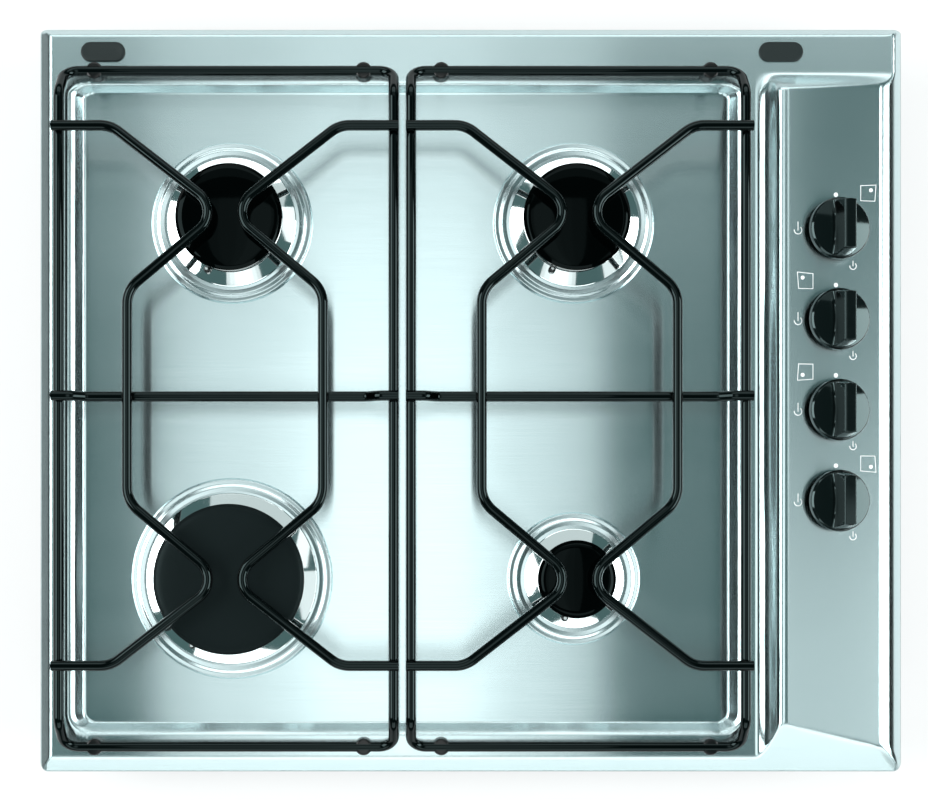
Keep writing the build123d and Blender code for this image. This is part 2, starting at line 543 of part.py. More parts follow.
def grip_section(shoulder, top):
    """Section across the knob's grip: flat top, leaning flanks and hollow feet, as a face in the x-z plane."""
    crown = KNOB_GRIP_WIDTH / 2
    flank = crown + KNOB_GRIP_DRAFT
    bend = KNOB_GRIP_FOOT * (1 - cos(radians(45)))
    half = [
        Line((0, top), (crown - KNOB_GRIP_EDGE, top)),
        Line((crown - KNOB_GRIP_EDGE, top), (crown, top - KNOB_GRIP_EDGE)),
        Line((crown, top - KNOB_GRIP_EDGE), (flank, shoulder + KNOB_GRIP_FOOT)),
        ThreePointArc((flank, shoulder + KNOB_GRIP_FOOT), (flank + bend, shoulder + bend),
                      (flank + KNOB_GRIP_FOOT, shoulder)),
        Polyline((flank + KNOB_GRIP_FOOT, shoulder), (flank + KNOB_GRIP_FOOT, shoulder - 1), (0, shoulder - 1), (0, top)),
    ]
    face = Plane.XZ * make_face(half)
    return face + mirror(face, about=Plane.YZ)


def knob():
    """Moulded knob: a hollow round skirt with one narrow grip right across it."""
    low = KNOB_GAP
    top = low + KNOB_HEIGHT
    shoulder = low + KNOB_SKIRT
    rim = KNOB_RADIUS - KNOB_SKIRT_CHAMFER
    skirt = turned([(0, low), (KNOB_RADIUS, low), (KNOB_RADIUS, shoulder - KNOB_SKIRT_CHAMFER), (rim, shoulder),
                    (0, shoulder + KNOB_CROWN)])
    envelope = turned([(0, shoulder - 1), (rim, shoulder - 1), (rim, shoulder), (rim - KNOB_GRIP_END_LEAN, top - 1),
                       (rim - KNOB_GRIP_END_LEAN - 1, top), (0, top)])
    body = skirt + (extrude(grip_section(shoulder, top), KNOB_RADIUS, both=True) & envelope)
    body -= rod(KNOB_RADIUS - KNOB_WALL, KNOB_SKIRT - KNOB_WALL, (0, 0, low)) - rod(KNOB_HUB_RADIUS, top)
    return body - d_shaft(SPINDLE_RADIUS + FIT / 2, SPINDLE_FLAT + FIT / 2, 0, SPINDLE_TOP + FIT)


def tap_spindle():
    """Spindle: D-shaped top for the knob, a collar under the bonnet, a blade into the cone's slot."""
    collar_top = -(BONNET_DEPTH + BONNET_THICKNESS) - SEAT_GAP
    collar_low = collar_top - COLLAR_THICKNESS
    blade_low = -CONE_TOP_DEPTH - SLOT_DEPTH / 2
    flat_low = KNOB_GAP - SPINDLE_ENGAGEMENT_START
    spindle = d_shaft(SPINDLE_RADIUS, SPINDLE_FLAT, flat_low, SPINDLE_TOP)
    spindle += rod(SPINDLE_RADIUS, flat_low - collar_top, (0, 0, collar_top))
    spindle += rod(COLLAR_RADIUS, COLLAR_THICKNESS, (0, 0, collar_low))
    blade = solid_box(-SLOT_WIDTH / 2 + FIT, SLOT_WIDTH / 2 - FIT, -SPINDLE_RADIUS, SPINDLE_RADIUS,
                      blade_low, collar_low)
    return spindle + blade


def tap_cone():
    """Tapered plug that turns in the tap body and meters the gas."""
    top = -CONE_TOP_DEPTH
    cone = turned([(0, top), (CONE_TOP_RADIUS, top), (CONE_BOTTOM_RADIUS, top - CONE_LENGTH),
                   (0, top - CONE_LENGTH)])
    return cone - solid_box(-SLOT_WIDTH / 2, SLOT_WIDTH / 2, -CONE_TOP_RADIUS, CONE_TOP_RADIUS,
                            top - SLOT_DEPTH, top + 1)


def tap_ears(thickness):
    """The outline shared by a tap's ears and its bonnet."""
    return extrude(SlotOverall(TAP_EAR_LENGTH, TAP_EAR_WIDTH, rotation=90), thickness)


def tap_body():
    """Cast tap body: chamber and tapered bore, inlet boss to the rail, outlet boss to the pipe."""
    top = -(BONNET_DEPTH + BONNET_THICKNESS)
    bottom = top - TAP_BODY_LENGTH
    body = rod(TAP_BODY_RADIUS, TAP_BODY_LENGTH, (0, 0, bottom))
    body += Pos(0, 0, top - TAP_EAR_THICKNESS) * tap_ears(TAP_EAR_THICKNESS)
    body += rod(TAP_NECK_RADIUS, RAIL_REACH - RAIL_RADIUS, (0, 0, -TAP_PORT_DEPTH), (1, 0, 0))
    body += rod(TAP_SPIGOT_RADIUS, RAIL_REACH - RAIL_RADIUS + RAIL_WALL + 1, (0, 0, -TAP_PORT_DEPTH), (1, 0, 0))
    body += rod(2 * PIPE_RADIUS, TAP_BODY_RADIUS + TAP_OUTLET_LENGTH, (0, 0, -OUTLET_DEPTH), (-1, 0, 0))
    body -= rod(TAP_CHAMBER_RADIUS, TAP_CHAMBER_DEPTH + 1, (0, 0, -CONE_TOP_DEPTH))
    low = -CONE_TOP_DEPTH - CONE_LENGTH - FIT
    body -= turned([(0, -CONE_TOP_DEPTH), (CONE_TOP_RADIUS + FIT, -CONE_TOP_DEPTH),
                    (CONE_BOTTOM_RADIUS + FIT, low), (0, low)])
    return body - rod(PIPE_RADIUS + FIT, 2 * TAP_OUTLET_LENGTH, (-TAP_BODY_RADIUS, 0, -OUTLET_DEPTH), (-1, 0, 0))


def tap_bonnet():
    """Cover plate over the tap chamber, with the spindle's bearing hole."""
    plate = tap_ears(BONNET_THICKNESS) + rod(TAP_BODY_RADIUS, BONNET_THICKNESS)
    plate -= rod(SPINDLE_RADIUS + FIT, BONNET_THICKNESS)
    return Pos(0, 0, -(BONNET_DEPTH + BONNET_THICKNESS)) * plate


def tap_screws():
    """Two screws that hold a bonnet on its tap body."""
    screws = []
    for y in (-TAP_SCREW_OFFSET, TAP_SCREW_OFFSET):
        screws.append(rod(TAP_SCREW_RADIUS, TAP_SCREW_HEAD, (0, y, -BONNET_DEPTH)))
    return screws


def knob_seal():
    """Rubber ring in the panel hole round the spindle."""
    lip = turned([(SPINDLE_RADIUS + SEAT_GAP, -1), (PANEL_HOLE_RADIUS - FIT, -1), (PANEL_HOLE_RADIUS - FIT, 0),
                  (PANEL_HOLE_RADIUS + 2, 0), (PANEL_HOLE_RADIUS + 1.6, 0.5), (SPINDLE_RADIUS + SEAT_GAP, 0.5)])
    return lip


def at_tap(number, shape):
    """Put a piece made in the tap's frame at one tap."""
    return tap_place(number) * shape


def at_every_tap(shape):
    """The same piece at all four taps."""
    return Compound([solid for number in range(len(KNOB_NAMES)) for solid in at_tap(number, shape).solids()])


# ---------------------------------------------------------------- gas supply
def rail_axis():
    """Where the gas rail runs, as x and z."""
    centre = Vector(KNOB_X, 0, panel_height(KNOB_X))
    point = centre - PANEL_NORMAL * TAP_PORT_DEPTH + PANEL_DOWNHILL * RAIL_REACH
    return point.X, point.Z


def gas_rail():
    """Steel tube that feeds the four taps, closed at the front."""
    x, z = rail_axis()
    length = INLET_Y - THREAD_RADIUS - 1 - RAIL_FRONT_Y
    rail = rod(RAIL_RADIUS, length, (x, RAIL_FRONT_Y, z), (0, 1, 0))
    rail -= rod(RAIL_RADIUS - RAIL_WALL, length, (x, RAIL_FRONT_Y + RAIL_END_WALL, z), (0, 1, 0))
    for number in range(len(KNOB_NAMES)):
        rail -= at_tap(number, rod(TAP_SPIGOT_RADIUS + FIT, RAIL_REACH, (0, 0, -TAP_PORT_DEPTH), (1, 0, 0)))
    return rail


def gas_inlet_elbow():
    """Brass elbow on the rail's rear end, with a male pipe thread pointing down."""
    x, z = rail_axis()
    start = INLET_Y - THREAD_RADIUS - ELBOW_SLEEVE
    elbow = rod(RAIL_RADIUS + ELBOW_WALL, ELBOW_SLEEVE + THREAD_RADIUS, (x, start, z), (0, 1, 0))
    elbow += Pos(x, INLET_Y, z) * Sphere(RAIL_RADIUS + ELBOW_BALL_WALL)
    shank = z - INLET_END_Z - THREAD_LENGTH
    elbow += rod(RAIL_RADIUS + ELBOW_WALL, shank, (x, INLET_Y, INLET_END_Z + THREAD_LENGTH))
    elbow += rod(THREAD_RADIUS, THREAD_LENGTH, (x, INLET_Y, INLET_END_Z))
    elbow -= rod(INLET_BORE, z - INLET_END_Z - 2, (x, INLET_Y, INLET_END_Z))
    return elbow - rod(RAIL_RADIUS + FIT, ELBOW_SLEEVE - 1 + FIT, (x, start, z), (0, 1, 0))


def burner_gas_pipes():
    """Four bent aluminium pipes from the tap outlets to the burner cups."""
    pipes = []
    for number, name in enumerate(KNOB_NAMES):
        x, y, size = BURNERS[name]
        tap_y = KNOB_REAR_Y - number * KNOB_PITCH
        outlet = Vector(KNOB_X, tap_y, panel_height(KNOB_X)) - PANEL_NORMAL * OUTLET_DEPTH
        start = outlet - PANEL_DOWNHILL * (TAP_BODY_RADIUS + 1)
        shoulder = start - PANEL_DOWNHILL * PIPE_TAP_RUN
        cup_side = x + size["cap"] - CUP_INSET
        sideways = abs(y - tap_y)
        turn_x = cup_side + PIPE_LEVEL_RUN + max(0.6 * sideways, 2.4 * PIPE_BEND)
        points = [start, shoulder, (shoulder.X - PIPE_FALL_RUN, tap_y, PIPE_Z), (turn_x, tap_y, PIPE_Z),
                  (cup_side + PIPE_LEVEL_RUN, y, PIPE_Z), (cup_side + 1, y, PIPE_Z)]
        pipes.append(wire_rod(points, [PIPE_BEND] * (len(points) - 2), PIPE_RADIUS))
    return Compound([solid for pipe in pipes for solid in pipe.solids()])


# ---------------------------------------------------------------- bottom case and fittings
def case_block(inset):
    """The space of the case with the stepped corner for the gas inlet, shrunk by inset."""
    half_x = CASE_RIGHT - inset
    block = solid_box(-half_x, half_x, CASE_FRONT + inset, CASE_REAR - inset, inset, RIM_Z - SHEET + inset)
    block = fillet(block.edges().filter_by(Axis.Z), CASE_CORNER_RADIUS - inset)
    pocket_left = CASE_RIGHT - POCKET_WIDTH
    pocket_front = CASE_REAR - POCKET_DEPTH
    return block - solid_box(pocket_left - inset, RIGHT, pocket_front - inset, REAR, -1, POCKET_HEIGHT + inset)


def bottom_case():
    """Galvanised tray that closes the hob from below."""
    x, z = rail_axis()
    case = case_block(0) - case_block(SHEET)
    case -= Pos(x, INLET_Y, POCKET_HEIGHT) * Cylinder(THREAD_RADIUS + SEAT_GAP, 6 * SHEET)
    return case - rod(GROMMET_RADIUS, 6 * SHEET, (RIGHT - GROMMET_INSET, CASE_REAR + 2 * SHEET, GROMMET_Z), (0, -1, 0))


def cable_grommet():
    """Rubber bush in the rear wall where the mains lead would come in."""
    lip = GROMMET_RADIUS + GROMMET_LIP
    neck = GROMMET_RADIUS - FIT
    bush = turned([(CABLE_RADIUS, -GROMMET_REACH), (lip, -GROMMET_REACH), (lip, 0), (neck, 0), (neck, SHEET),
                   (lip, SHEET), (GROMMET_RADIUS, GROMMET_REACH), (CABLE_RADIUS, GROMMET_REACH)])
    return Plane(origin=(RIGHT - GROMMET_INSET, CASE_REAR - SHEET, GROMMET_Z), z_dir=(0, 1, 0)).location * bush


def worktop_seal():
    """Foam strip stuck under the turned-down edge of the plate."""
    width = PLATE_WIDTH - 2 * SEAL_INSET
    depth = PLATE_DEPTH - 2 * SEAL_INSET
    strip = RectangleRounded(width, depth, PLATE_CORNER_RADIUS)
    strip -= RectangleRounded(width - 2 * SEAL_WIDTH, depth - 2 * SEAL_WIDTH, 2)
    return Pos(0, 0, CASE_DEPTH) * extrude(strip, SEAL_HEIGHT)


def worktop_clamp():
    """Bent strip that hooks under the worktop, made for the right wall of the case."""
    x = CASE_RIGHT
    foot = solid_box(x, RIGHT - 1, -CLAMP_WIDTH / 2, CLAMP_WIDTH / 2, CLAMP_FOOT_Z, CLAMP_FOOT_Z + CLAMP_THICKNESS)
    leg = solid_box(x, x + CLAMP_THICKNESS, -CLAMP_WIDTH / 2, CLAMP_WIDTH / 2, CLAMP_FOOT_Z,
                    CLAMP_FOOT_Z + CLAMP_HEIGHT)
    slot_plane = Plane(origin=(x - 1, 0, CLAMP_FOOT_Z + CLAMP_SLOT_RISE), x_dir=(0, 0, 1), z_dir=(1, 0, 0))
    slot = slot_plane * SlotOverall(CLAMP_SLOT_LENGTH, CLAMP_SLOT_WIDTH)
    return foot + leg - extrude(slot, 4 * CLAMP_THICKNESS)


def clamp_screw():
    """Screw of a worktop clamp, through its slot into the case wall."""
    axis_z = CLAMP_FOOT_Z + CLAMP_SLOT_RISE
    head = rod(CLAMP_SCREW_HEAD_RADIUS, CLAMP_SCREW_HEAD, (CASE_RIGHT + CLAMP_THICKNESS, 0, axis_z), (1, 0, 0))
    return head + rod(CLAMP_SCREW_RADIUS, CLAMP_THICKNESS, (CASE_RIGHT, 0, axis_z), (1, 0, 0))


def at_every_clamp(shape):
    """The same piece at the four clamps, two on each side of the case."""
    solids = []
    for y in (FRONT + CLAMP_END_INSET, REAR - CLAMP_END_INSET):
        for turn in (0, 180):
            solids += (Rot(0, 0, turn) * Pos(0, y, 0) * shape).solids()
    return Compound(solids)


# ---------------------------------------------------------------- ignition
def ignition_unit():
    """Moulded spark generator, fixed to the floor of the case."""
    outline = RectangleRounded(UNIT_WIDTH, UNIT_LENGTH, UNIT_CORNER_RADIUS)
    return Pos(RIGHT - UNIT_INSET, UNIT_Y, SHEET) * extrude(outline, UNIT_HEIGHT)


def ignition_switches():
    """One switch beside each tap, worked by the collar of its spindle."""
    depth = BONNET_DEPTH + BONNET_THICKNESS
    near = -TAP_BODY_RADIUS - SEAT_GAP
    return solid_box(near - SWITCH_WIDTH, near, -SWITCH_LENGTH / 2, SWITCH_LENGTH / 2, -depth - SWITCH_HEIGHT, -depth)


NODES = {
    "hob_plate": hob_plate(),
    "hinge_slot_plugs": hinge_slot_plugs(),
    "bottom_case": bottom_case(),
    "cable_grommet": cable_grommet(),
    "worktop_seal": worktop_seal(),
    "worktop_clamps": at_every_clamp(worktop_clamp()),
    "clamp_screws": at_every_clamp(clamp_screw()),
    "gas_rail": gas_rail(),
    "gas_inlet_elbow": gas_inlet_elbow(),
    "burner_gas_pipes": burner_gas_pipes(),
    "tap_bodies": at_every_tap(tap_body()),
    "tap_bonnets": at_every_tap(tap_bonnet()),
    "tap_screws": at_every_tap(Compound(tap_screws())),
    "knob_seals": at_every_tap(knob_seal()),
    "ignition_switches": at_every_tap(ignition_switches()),
    "ignition_unit": ignition_unit(),
    "burner_rings": Compound([solid for name in BURNERS for solid in at_burner(name, burner_ring).solids()]),
    "burner_cups": Compound([solid for name in BURNERS for solid in at_burner(name, burner_cup).solids()]),
    "gas_injectors": Compound([solid for name in BURNERS for solid in at_burner(name, gas_injector).solids()]),
    "spark_electrodes": Compound([solid for name in BURNERS for solid in at_burner(name, spark_electrode).solids()]),
}
for name in BURNERS:
    NODES[name + "_burner_head"] = at_burner(name, burner_head)
    NODES[name + "_burner_cap"] = at_burner(name, burner_cap)
for number, name in enumerate(KNOB_NAMES):
    NODES[name + "_tap_cone"] = at_tap(number, tap_cone())
    NODES[name + "_tap_spindle"] = at_tap(number, tap_spindle())
    NODES[name + "_knob"] = at_tap(number, knob())
for side, centre in (("left", SUPPORT_LEFT_X), ("right", SUPPORT_RIGHT_X)):
    place = Pos(centre, 0, 0)
    NODES[side + "_support_frame"] = place * support_frame()
    NODES[side + "_support_crossbar"] = place * support_crossbar()
    NODES[side + "_support_finger_left"] = place * finger_wire(-1)
    NODES[side + "_support_finger_right"] = place * finger_wire(1)
    NODES[side + "_support_feet"] = place * support_feet()

os.makedirs("parts", exist_ok=True)
for name, shape in NODES.items():
    export_step(shape, "parts/" + name + ".step")
    print(name, round(shape.volume / 1000, 2), "cm3")
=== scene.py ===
from math import cos, hypot, pi, radians, sin, tan

import bmesh
import bpy
import numpy as np
from mathutils import Matrix, Vector


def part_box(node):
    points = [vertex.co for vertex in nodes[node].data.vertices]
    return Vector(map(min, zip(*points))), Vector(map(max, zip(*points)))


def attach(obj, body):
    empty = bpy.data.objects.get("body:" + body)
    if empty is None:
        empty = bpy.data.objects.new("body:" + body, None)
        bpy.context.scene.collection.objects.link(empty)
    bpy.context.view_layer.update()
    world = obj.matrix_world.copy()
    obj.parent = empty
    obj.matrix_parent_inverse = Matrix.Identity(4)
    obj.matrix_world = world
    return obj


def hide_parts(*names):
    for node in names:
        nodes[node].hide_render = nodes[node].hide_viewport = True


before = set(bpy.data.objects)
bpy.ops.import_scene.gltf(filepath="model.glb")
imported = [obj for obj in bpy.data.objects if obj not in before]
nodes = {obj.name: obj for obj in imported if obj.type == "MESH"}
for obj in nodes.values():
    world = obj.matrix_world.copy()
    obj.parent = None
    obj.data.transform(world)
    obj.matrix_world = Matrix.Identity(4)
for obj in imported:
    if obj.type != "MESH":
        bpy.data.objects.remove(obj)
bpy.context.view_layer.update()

MM = 0.001


# -------- camera and studio
# The camera looks straight down from 1 m above the rim, 43 mm left and 94 mm in front of the hob's
# middle. Its small shift brings the hob into the frame, and the plate stays a true rectangle.
PHOTO_WIDTH, PHOTO_HEIGHT = 928, 800
PHOTO_SCALE = 1.4917            # photograph pixels per millimetre on the rim of the hob
PLATE_MIDDLE_PIXEL = (471.1, 399.8)
CAMERA_HEIGHT = 1.000           # above the rim
SENSOR_WIDTH = 36.0
RIM_Z = 0.052
SHIFT_X, SHIFT_Y = 0.0614, 0.150
WHITE = "#FFFFFF"


def add_object(name, data):
    """A new object at the origin, linked to the scene."""
    made = bpy.data.objects.new(name, data)
    bpy.context.scene.collection.objects.link(made)
    return made


camera_data = bpy.data.cameras.new("camera")
camera_data.sensor_width = SENSOR_WIDTH
camera_data.lens = PHOTO_SCALE / MM * CAMERA_HEIGHT / PHOTO_WIDTH * camera_data.sensor_width
camera_data.shift_x = SHIFT_X
camera_data.shift_y = SHIFT_Y
camera_data.clip_end = 20.0
camera = add_object("camera", camera_data)
axis_x = PHOTO_WIDTH / 2 - SHIFT_X * PHOTO_WIDTH
axis_y = PHOTO_HEIGHT / 2 + SHIFT_Y * PHOTO_WIDTH
camera.location = ((axis_x - PLATE_MIDDLE_PIXEL[0]) / PHOTO_SCALE * MM,
                   (PLATE_MIDDLE_PIXEL[1] - axis_y) / PHOTO_SCALE * MM,
                   RIM_Z + CAMERA_HEIGHT)
bpy.context.scene.camera = camera
bpy.context.scene.view_settings.view_transform = "Standard"


def add_node(owner, kind, inputs=None, **settings):
    """Outputs of a new node, whose properties are set and inputs set or linked."""
    made = owner.node_tree.nodes.new("ShaderNode" + kind)
    for key, value in settings.items():
        setattr(made, key, value)
    for socket, value in (inputs or {}).items():
        if isinstance(value, bpy.types.NodeSocket):
            owner.node_tree.links.new(value, made.inputs[socket])
        else:
            made.inputs[socket].default_value = value
    return made.outputs


def math_node(owner, operation, first, second):
    """The output of one maths node."""
    return add_node(owner, "Math", {0: first, 1: second}, operation=operation)[0]


def linear(hex_colour):
    """An sRGB hex colour as linear red, green, blue and alpha."""
    channels = [int(hex_colour[i:i + 2], 16) / 255 for i in (1, 3, 5)]
    return [c / 12.92 if c <= 0.04045 else ((c + 0.055) / 1.055) ** 2.4 for c in channels] + [1.0]


def soft_box(name, place, size, target, brightness):
    """A rectangular lamp that faces a point; brightness 1 looks white in a perfect mirror."""
    data = bpy.data.lights.new(name, "AREA")
    data.shape = "RECTANGLE"
    data.size, data.size_y = size
    data.energy = brightness * pi * size[0] * size[1]
    lamp = add_object(name, data)
    lamp.location = place
    lamp.rotation_euler = (Vector(target) - Vector(place)).to_track_quat("-Z", "Y").to_euler()


# Nested boxes overhead make one long light that is brightest along its middle. Each step has its
# left end, its right end and what it adds to the brightness.
OVERHEAD_Y, OVERHEAD_Z, OVERHEAD_LENGTH, OVERHEAD_GAP = -0.18, 1.75, 1.55, 0.01
OVERHEAD_STEPS = ((-0.505, 0.315, 0.85), (-0.42, 0.225, 0.2), (-0.30, 0.135, 0.2),
                  (-0.22, 0.09, 0.35))
for number, (low_x, high_x, brightness) in enumerate(OVERHEAD_STEPS):
    middle_x = (low_x + high_x) / 2
    place = (middle_x, OVERHEAD_Y, OVERHEAD_Z - OVERHEAD_GAP * number)
    soft_box("overhead_box_" + str(number), place, (high_x - low_x, OVERHEAD_LENGTH),
             (middle_x, OVERHEAD_Y, 0.0), brightness)

# The other lamps: place, width and length, target, brightness. The first three face straight down
# and show in the control panel, the rear ledge and the burners' flanges.
HOB_MIDDLE = (0.0, 0.0, 0.05)
SOFT_BOXES = {
    "panel_box": ((1.28, -0.52, 1.75), (0.5, 1.0), (1.28, -0.52, 0.0), 0.9),
    "rear_overhead_box": ((0.05, 1.35, 1.75), (1.9, 1.0), (0.05, 1.35, 0.0), 0.6),
    "flange_box": ((1.05, 0.5, 1.74), (0.2, 0.9), (1.05, 0.5, 0.0), 1.2),
    "right_box": ((2.25, -0.25, 1.56), (2.1, 1.25), HOB_MIDDLE, 7.6),
    "left_box": ((-2.1, 0.15, 1.78), (2.2, 1.7), HOB_MIDDLE, 6.1),
    "front_box": ((0.0, -2.35, 1.55), (2.9, 1.3), HOB_MIDDLE, 2.3),
    "rear_box": ((0.0, 2.4, 1.6), (3.0, 1.3), HOB_MIDDLE, 2.25)}
for name, settings in SOFT_BOXES.items():
    soft_box(name, *settings)


def cleared(owner):
    """A world or material with an empty node tree."""
    owner.use_nodes = True
    owner.node_tree.nodes.clear()
    return owner


# The camera sees a white world. Mirrored rays meet the white backdrop up to its upper edge, and the
# dim studio between the lamps above it.
BACKDROP_TOP = (0.0, 0.02)      # heights of the fading edge on a sphere of radius 1
world = cleared(bpy.data.worlds.new("studio"))
bpy.context.scene.world = world
ambient = add_node(world, "Background", {"Color": linear("#587474"), "Strength": 0.85})
seen = add_node(world, "Background", {"Color": linear(WHITE), "Strength": 1.0})
ray = add_node(world, "LightPath")
aim = add_node(world, "SeparateXYZ",
               {0: add_node(world, "TexCoord")["Generated"]})
low = add_node(world, "MapRange", {
    "Value": aim["Z"], "From Min": BACKDROP_TOP[0], "From Max": BACKDROP_TOP[1],
    "To Min": 1.0, "To Max": 0.0})
mirrored = math_node(world, "MULTIPLY", ray["Is Glossy Ray"], low[0])
through = math_node(world, "MAXIMUM", ray["Is Camera Ray"], ray["Is Transmission Ray"])
white_share = math_node(world, "MAXIMUM", mirrored, through)
chosen = add_node(world, "MixShader",
                  {0: white_share, 1: ambient[0], 2: seen[0]})
add_node(world, "OutputWorld", {"Surface": chosen[0]})


def flat_sheet(name, corners, material):
    """One four-cornered sheet of the set."""
    mesh = bpy.data.meshes.new(name)
    mesh.from_pydata(corners, [], [(0, 1, 2, 3)])
    mesh.materials.append(material)
    return add_object(name, mesh)


# The floor is matt white paper that glows a little, so that it stays white and keeps the shadow.
PAPER_GLOW, PAPER_GLOW_SHARE = 0.9, 0.6
paper = cleared(bpy.data.materials.new("white_paper"))
paper_coat = add_node(paper, "BsdfDiffuse", {"Color": linear("#F4F6F6")})
paper_glow = add_node(paper, "Emission", {"Color": linear(WHITE), "Strength": PAPER_GLOW})
paper_mix = add_node(paper, "MixShader",
                     {0: PAPER_GLOW_SHARE, 1: paper_coat[0], 2: paper_glow[0]})
add_node(paper, "OutputMaterial", {"Surface": paper_mix[0]})
FLOOR_HALF = 6.0
floor = flat_sheet("floor", [(-FLOOR_HALF, -FLOOR_HALF, 0), (FLOOR_HALF, -FLOOR_HALF, 0),
                             (FLOOR_HALF, FLOOR_HALF, 0), (-FLOOR_HALF, FLOOR_HALF, 0)], paper)

# Two black cards stand low beside the set, hidden from the camera. They draw the dark lines in the
# walls of the well.
CARD_X, CARD_HALF, CARD_LOW, CARD_TOP = 2.0, 1.3, 0.1, 0.75
black_card = cleared(bpy.data.materials.new("black_card"))
card_coat = add_node(black_card, "BsdfDiffuse", {"Color": linear("#060808")})
add_node(black_card, "OutputMaterial", {"Surface": card_coat[0]})
for side, card_x in (("left", -CARD_X), ("right", CARD_X)):
    card = flat_sheet(side + "_black_card",
                      [(card_x, -CARD_HALF, CARD_LOW), (card_x, CARD_HALF, CARD_LOW),
                       (card_x, CARD_HALF, CARD_TOP), (card_x, -CARD_HALF, CARD_TOP)], black_card)
    card.visible_camera = False


# -------- hob plate
# One sheet of 0.8 mm stainless steel, brushed along its width and then deep-drawn: turned-down
# edges, a flat rim, a sunken well for the burners and a raised control panel that slopes down to
# the right. Lengths in the sections from here on are in millimetres.
plate_low, plate_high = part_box("hob_plate")
LEFT, RIGHT = plate_low.x / MM, plate_high.x / MM
FRONT, REAR = plate_low.y / MM, plate_high.y / MM
BASE_Z = 46.0                   # face of the worktop
RIM_RISE = 6.0
SHEET = 0.8
EDGE_RUNS = {"left": 8.0, "right": 8.7, "front": 10.5, "rear": 5.5}
WELL_RIM = {"left": 18.0, "right": 105.0, "front": 23.0, "rear": 37.0}
WELL_RUNS = {"left": 11.0, "right": 11.0, "front": 10.0, "rear": 5.0}
WELL_DROP = 8.0
WELL_WALL_EASING = 0.6          # the walls of the well steepen over this share of their run
WELL_BLEND, EDGE_BLEND = 0.5, 1.0
OUTSIDE_WELL = 8.0              # how steeply the well's surface climbs away outside the well
DEPTH_LIMITS = (-6.0, 1.2)      # the part of the well's surface that is used, in runs of its wall
EDGE_CORNER = 0.6               # corner radii as shares of the slopes' runs
WELL_CORNER = 1.7
PANEL_TILT = radians(8.1)
PANEL_REAR_INSET = 30.3
RIDGE_INSET = 84.0
RIDGE_RISE = 20.0
RIDGE_X = RIGHT - RIDGE_INSET
FOOT_RUN, CREST_RUN = 11.5, 9.0  # the hollow foot and the round crest of the panel's left flank
CREST_END = 4.3                 # how far right of the ridge line the crest has become the flat face
FLANK_SLOPE = 1.62              # steepest rise, where foot and crest meet
REAR_SLOPE_RUN = 16.2           # slope behind the panel, at the ridge
REAR_SLOPE_TAPER = 0.068        # how it shortens to the right
ROLL_START, ROLL_EASING = 9.74, 2.25    # how the right edge steepens on its way down
ROLL_END = 1.9


def blend_low(a, b, size):
    """The lower of two heights, with the crease between them rounded over."""
    share = np.clip(0.5 + 0.5 * (b - a) / size, 0, 1)
    return b + (a - b) * share - size * share * (1 - share)


def blend_high(a, b, size):
    """The higher of two heights, with the crease between them rounded over."""
    return -blend_low(-a, -b, size)


def depth_inside(x, y, margins, runs, corner):
    """Distance inside a rounded outline, counted in lengths of the slope that starts there."""
    sideways = np.minimum((x - LEFT - margins["left"]) / runs["left"],
                          (RIGHT - margins["right"] - x) / runs["right"])
    lengthways = np.minimum((y - FRONT - margins["front"]) / runs["front"],
                            (REAR - margins["rear"] - y) / runs["rear"])
    beyond_corner = np.maximum(np.minimum(sideways, lengthways) - corner, 0)
    rounding = np.hypot(np.maximum(corner - sideways, 0), np.maximum(corner - lengthways, 0))
    return corner - rounding + beyond_corner


def plate_height(x, y):
    """Height of the plate's upper face."""
    rim = BASE_Z + RIM_RISE
    depth = depth_inside(x, y, dict.fromkeys(EDGE_RUNS, 0.0), EDGE_RUNS, EDGE_CORNER)
    near_end = np.minimum((y - FRONT) / EDGE_RUNS["front"], (REAR - y) / EDGE_RUNS["rear"])
    on_right = np.clip(0.5 + near_end - (RIGHT - x) / EDGE_RUNS["right"], 0, 1)
    rolled = ROLL_START * depth - ROLL_EASING * np.minimum(depth, ROLL_END) ** 2
    edge = BASE_Z + RIM_RISE * depth * (1 - on_right) + rolled * on_right

    crest_end = RIDGE_X + CREST_END
    foot_x = crest_end - CREST_RUN - FOOT_RUN
    up_foot = np.clip((x - foot_x) / FOOT_RUN, 0, 1)
    up_crest = np.clip((x - crest_end) / CREST_RUN + 1, 0, 1)
    fall = tan(PANEL_TILT)
    foot_rise = FOOT_RUN * FLANK_SLOPE / 2
    crest_rise = CREST_RUN * ((FLANK_SLOPE + fall) * (1 - (1 - up_crest) ** 3) / 3
                              - fall * up_crest)
    panel_rise = foot_rise * up_foot ** 2 + crest_rise - np.maximum(x - crest_end, 0) * fall
    back_run = REAR_SLOPE_RUN - REAR_SLOPE_TAPER * np.clip(x - RIDGE_X, 0, RIDGE_INSET)
    up_back = np.clip((REAR - PANEL_REAR_INSET - y) / back_run, 0, 1)
    top = rim + panel_rise * up_back ** 2 * (3 - 2 * up_back)
    top = blend_low(top, edge, EDGE_BLEND)

    down = np.clip(depth_inside(x, y, WELL_RIM, WELL_RUNS, WELL_CORNER), *DEPTH_LIMITS)
    eased = np.where(down < WELL_WALL_EASING, down ** 2 / (2 * WELL_WALL_EASING),
                     down - WELL_WALL_EASING / 2)
    sunk = np.where(down < 0, OUTSIDE_WELL * down, eased / (1 - WELL_WALL_EASING / 2))
    well = blend_high(rim - WELL_DROP * sunk, np.full_like(x, rim - WELL_DROP), WELL_BLEND)
    return blend_low(top, well, WELL_BLEND)


def grid_lines(start, spans):
    """Positions along one side of a grid: each span is its end and the step used up to it."""
    lines = [start]
    for end, step in spans:
        count = max(1, round((end - lines[-1]) / step))
        lines += list(np.linspace(lines[-1], end, count + 1)[1:])
    return np.array(lines)


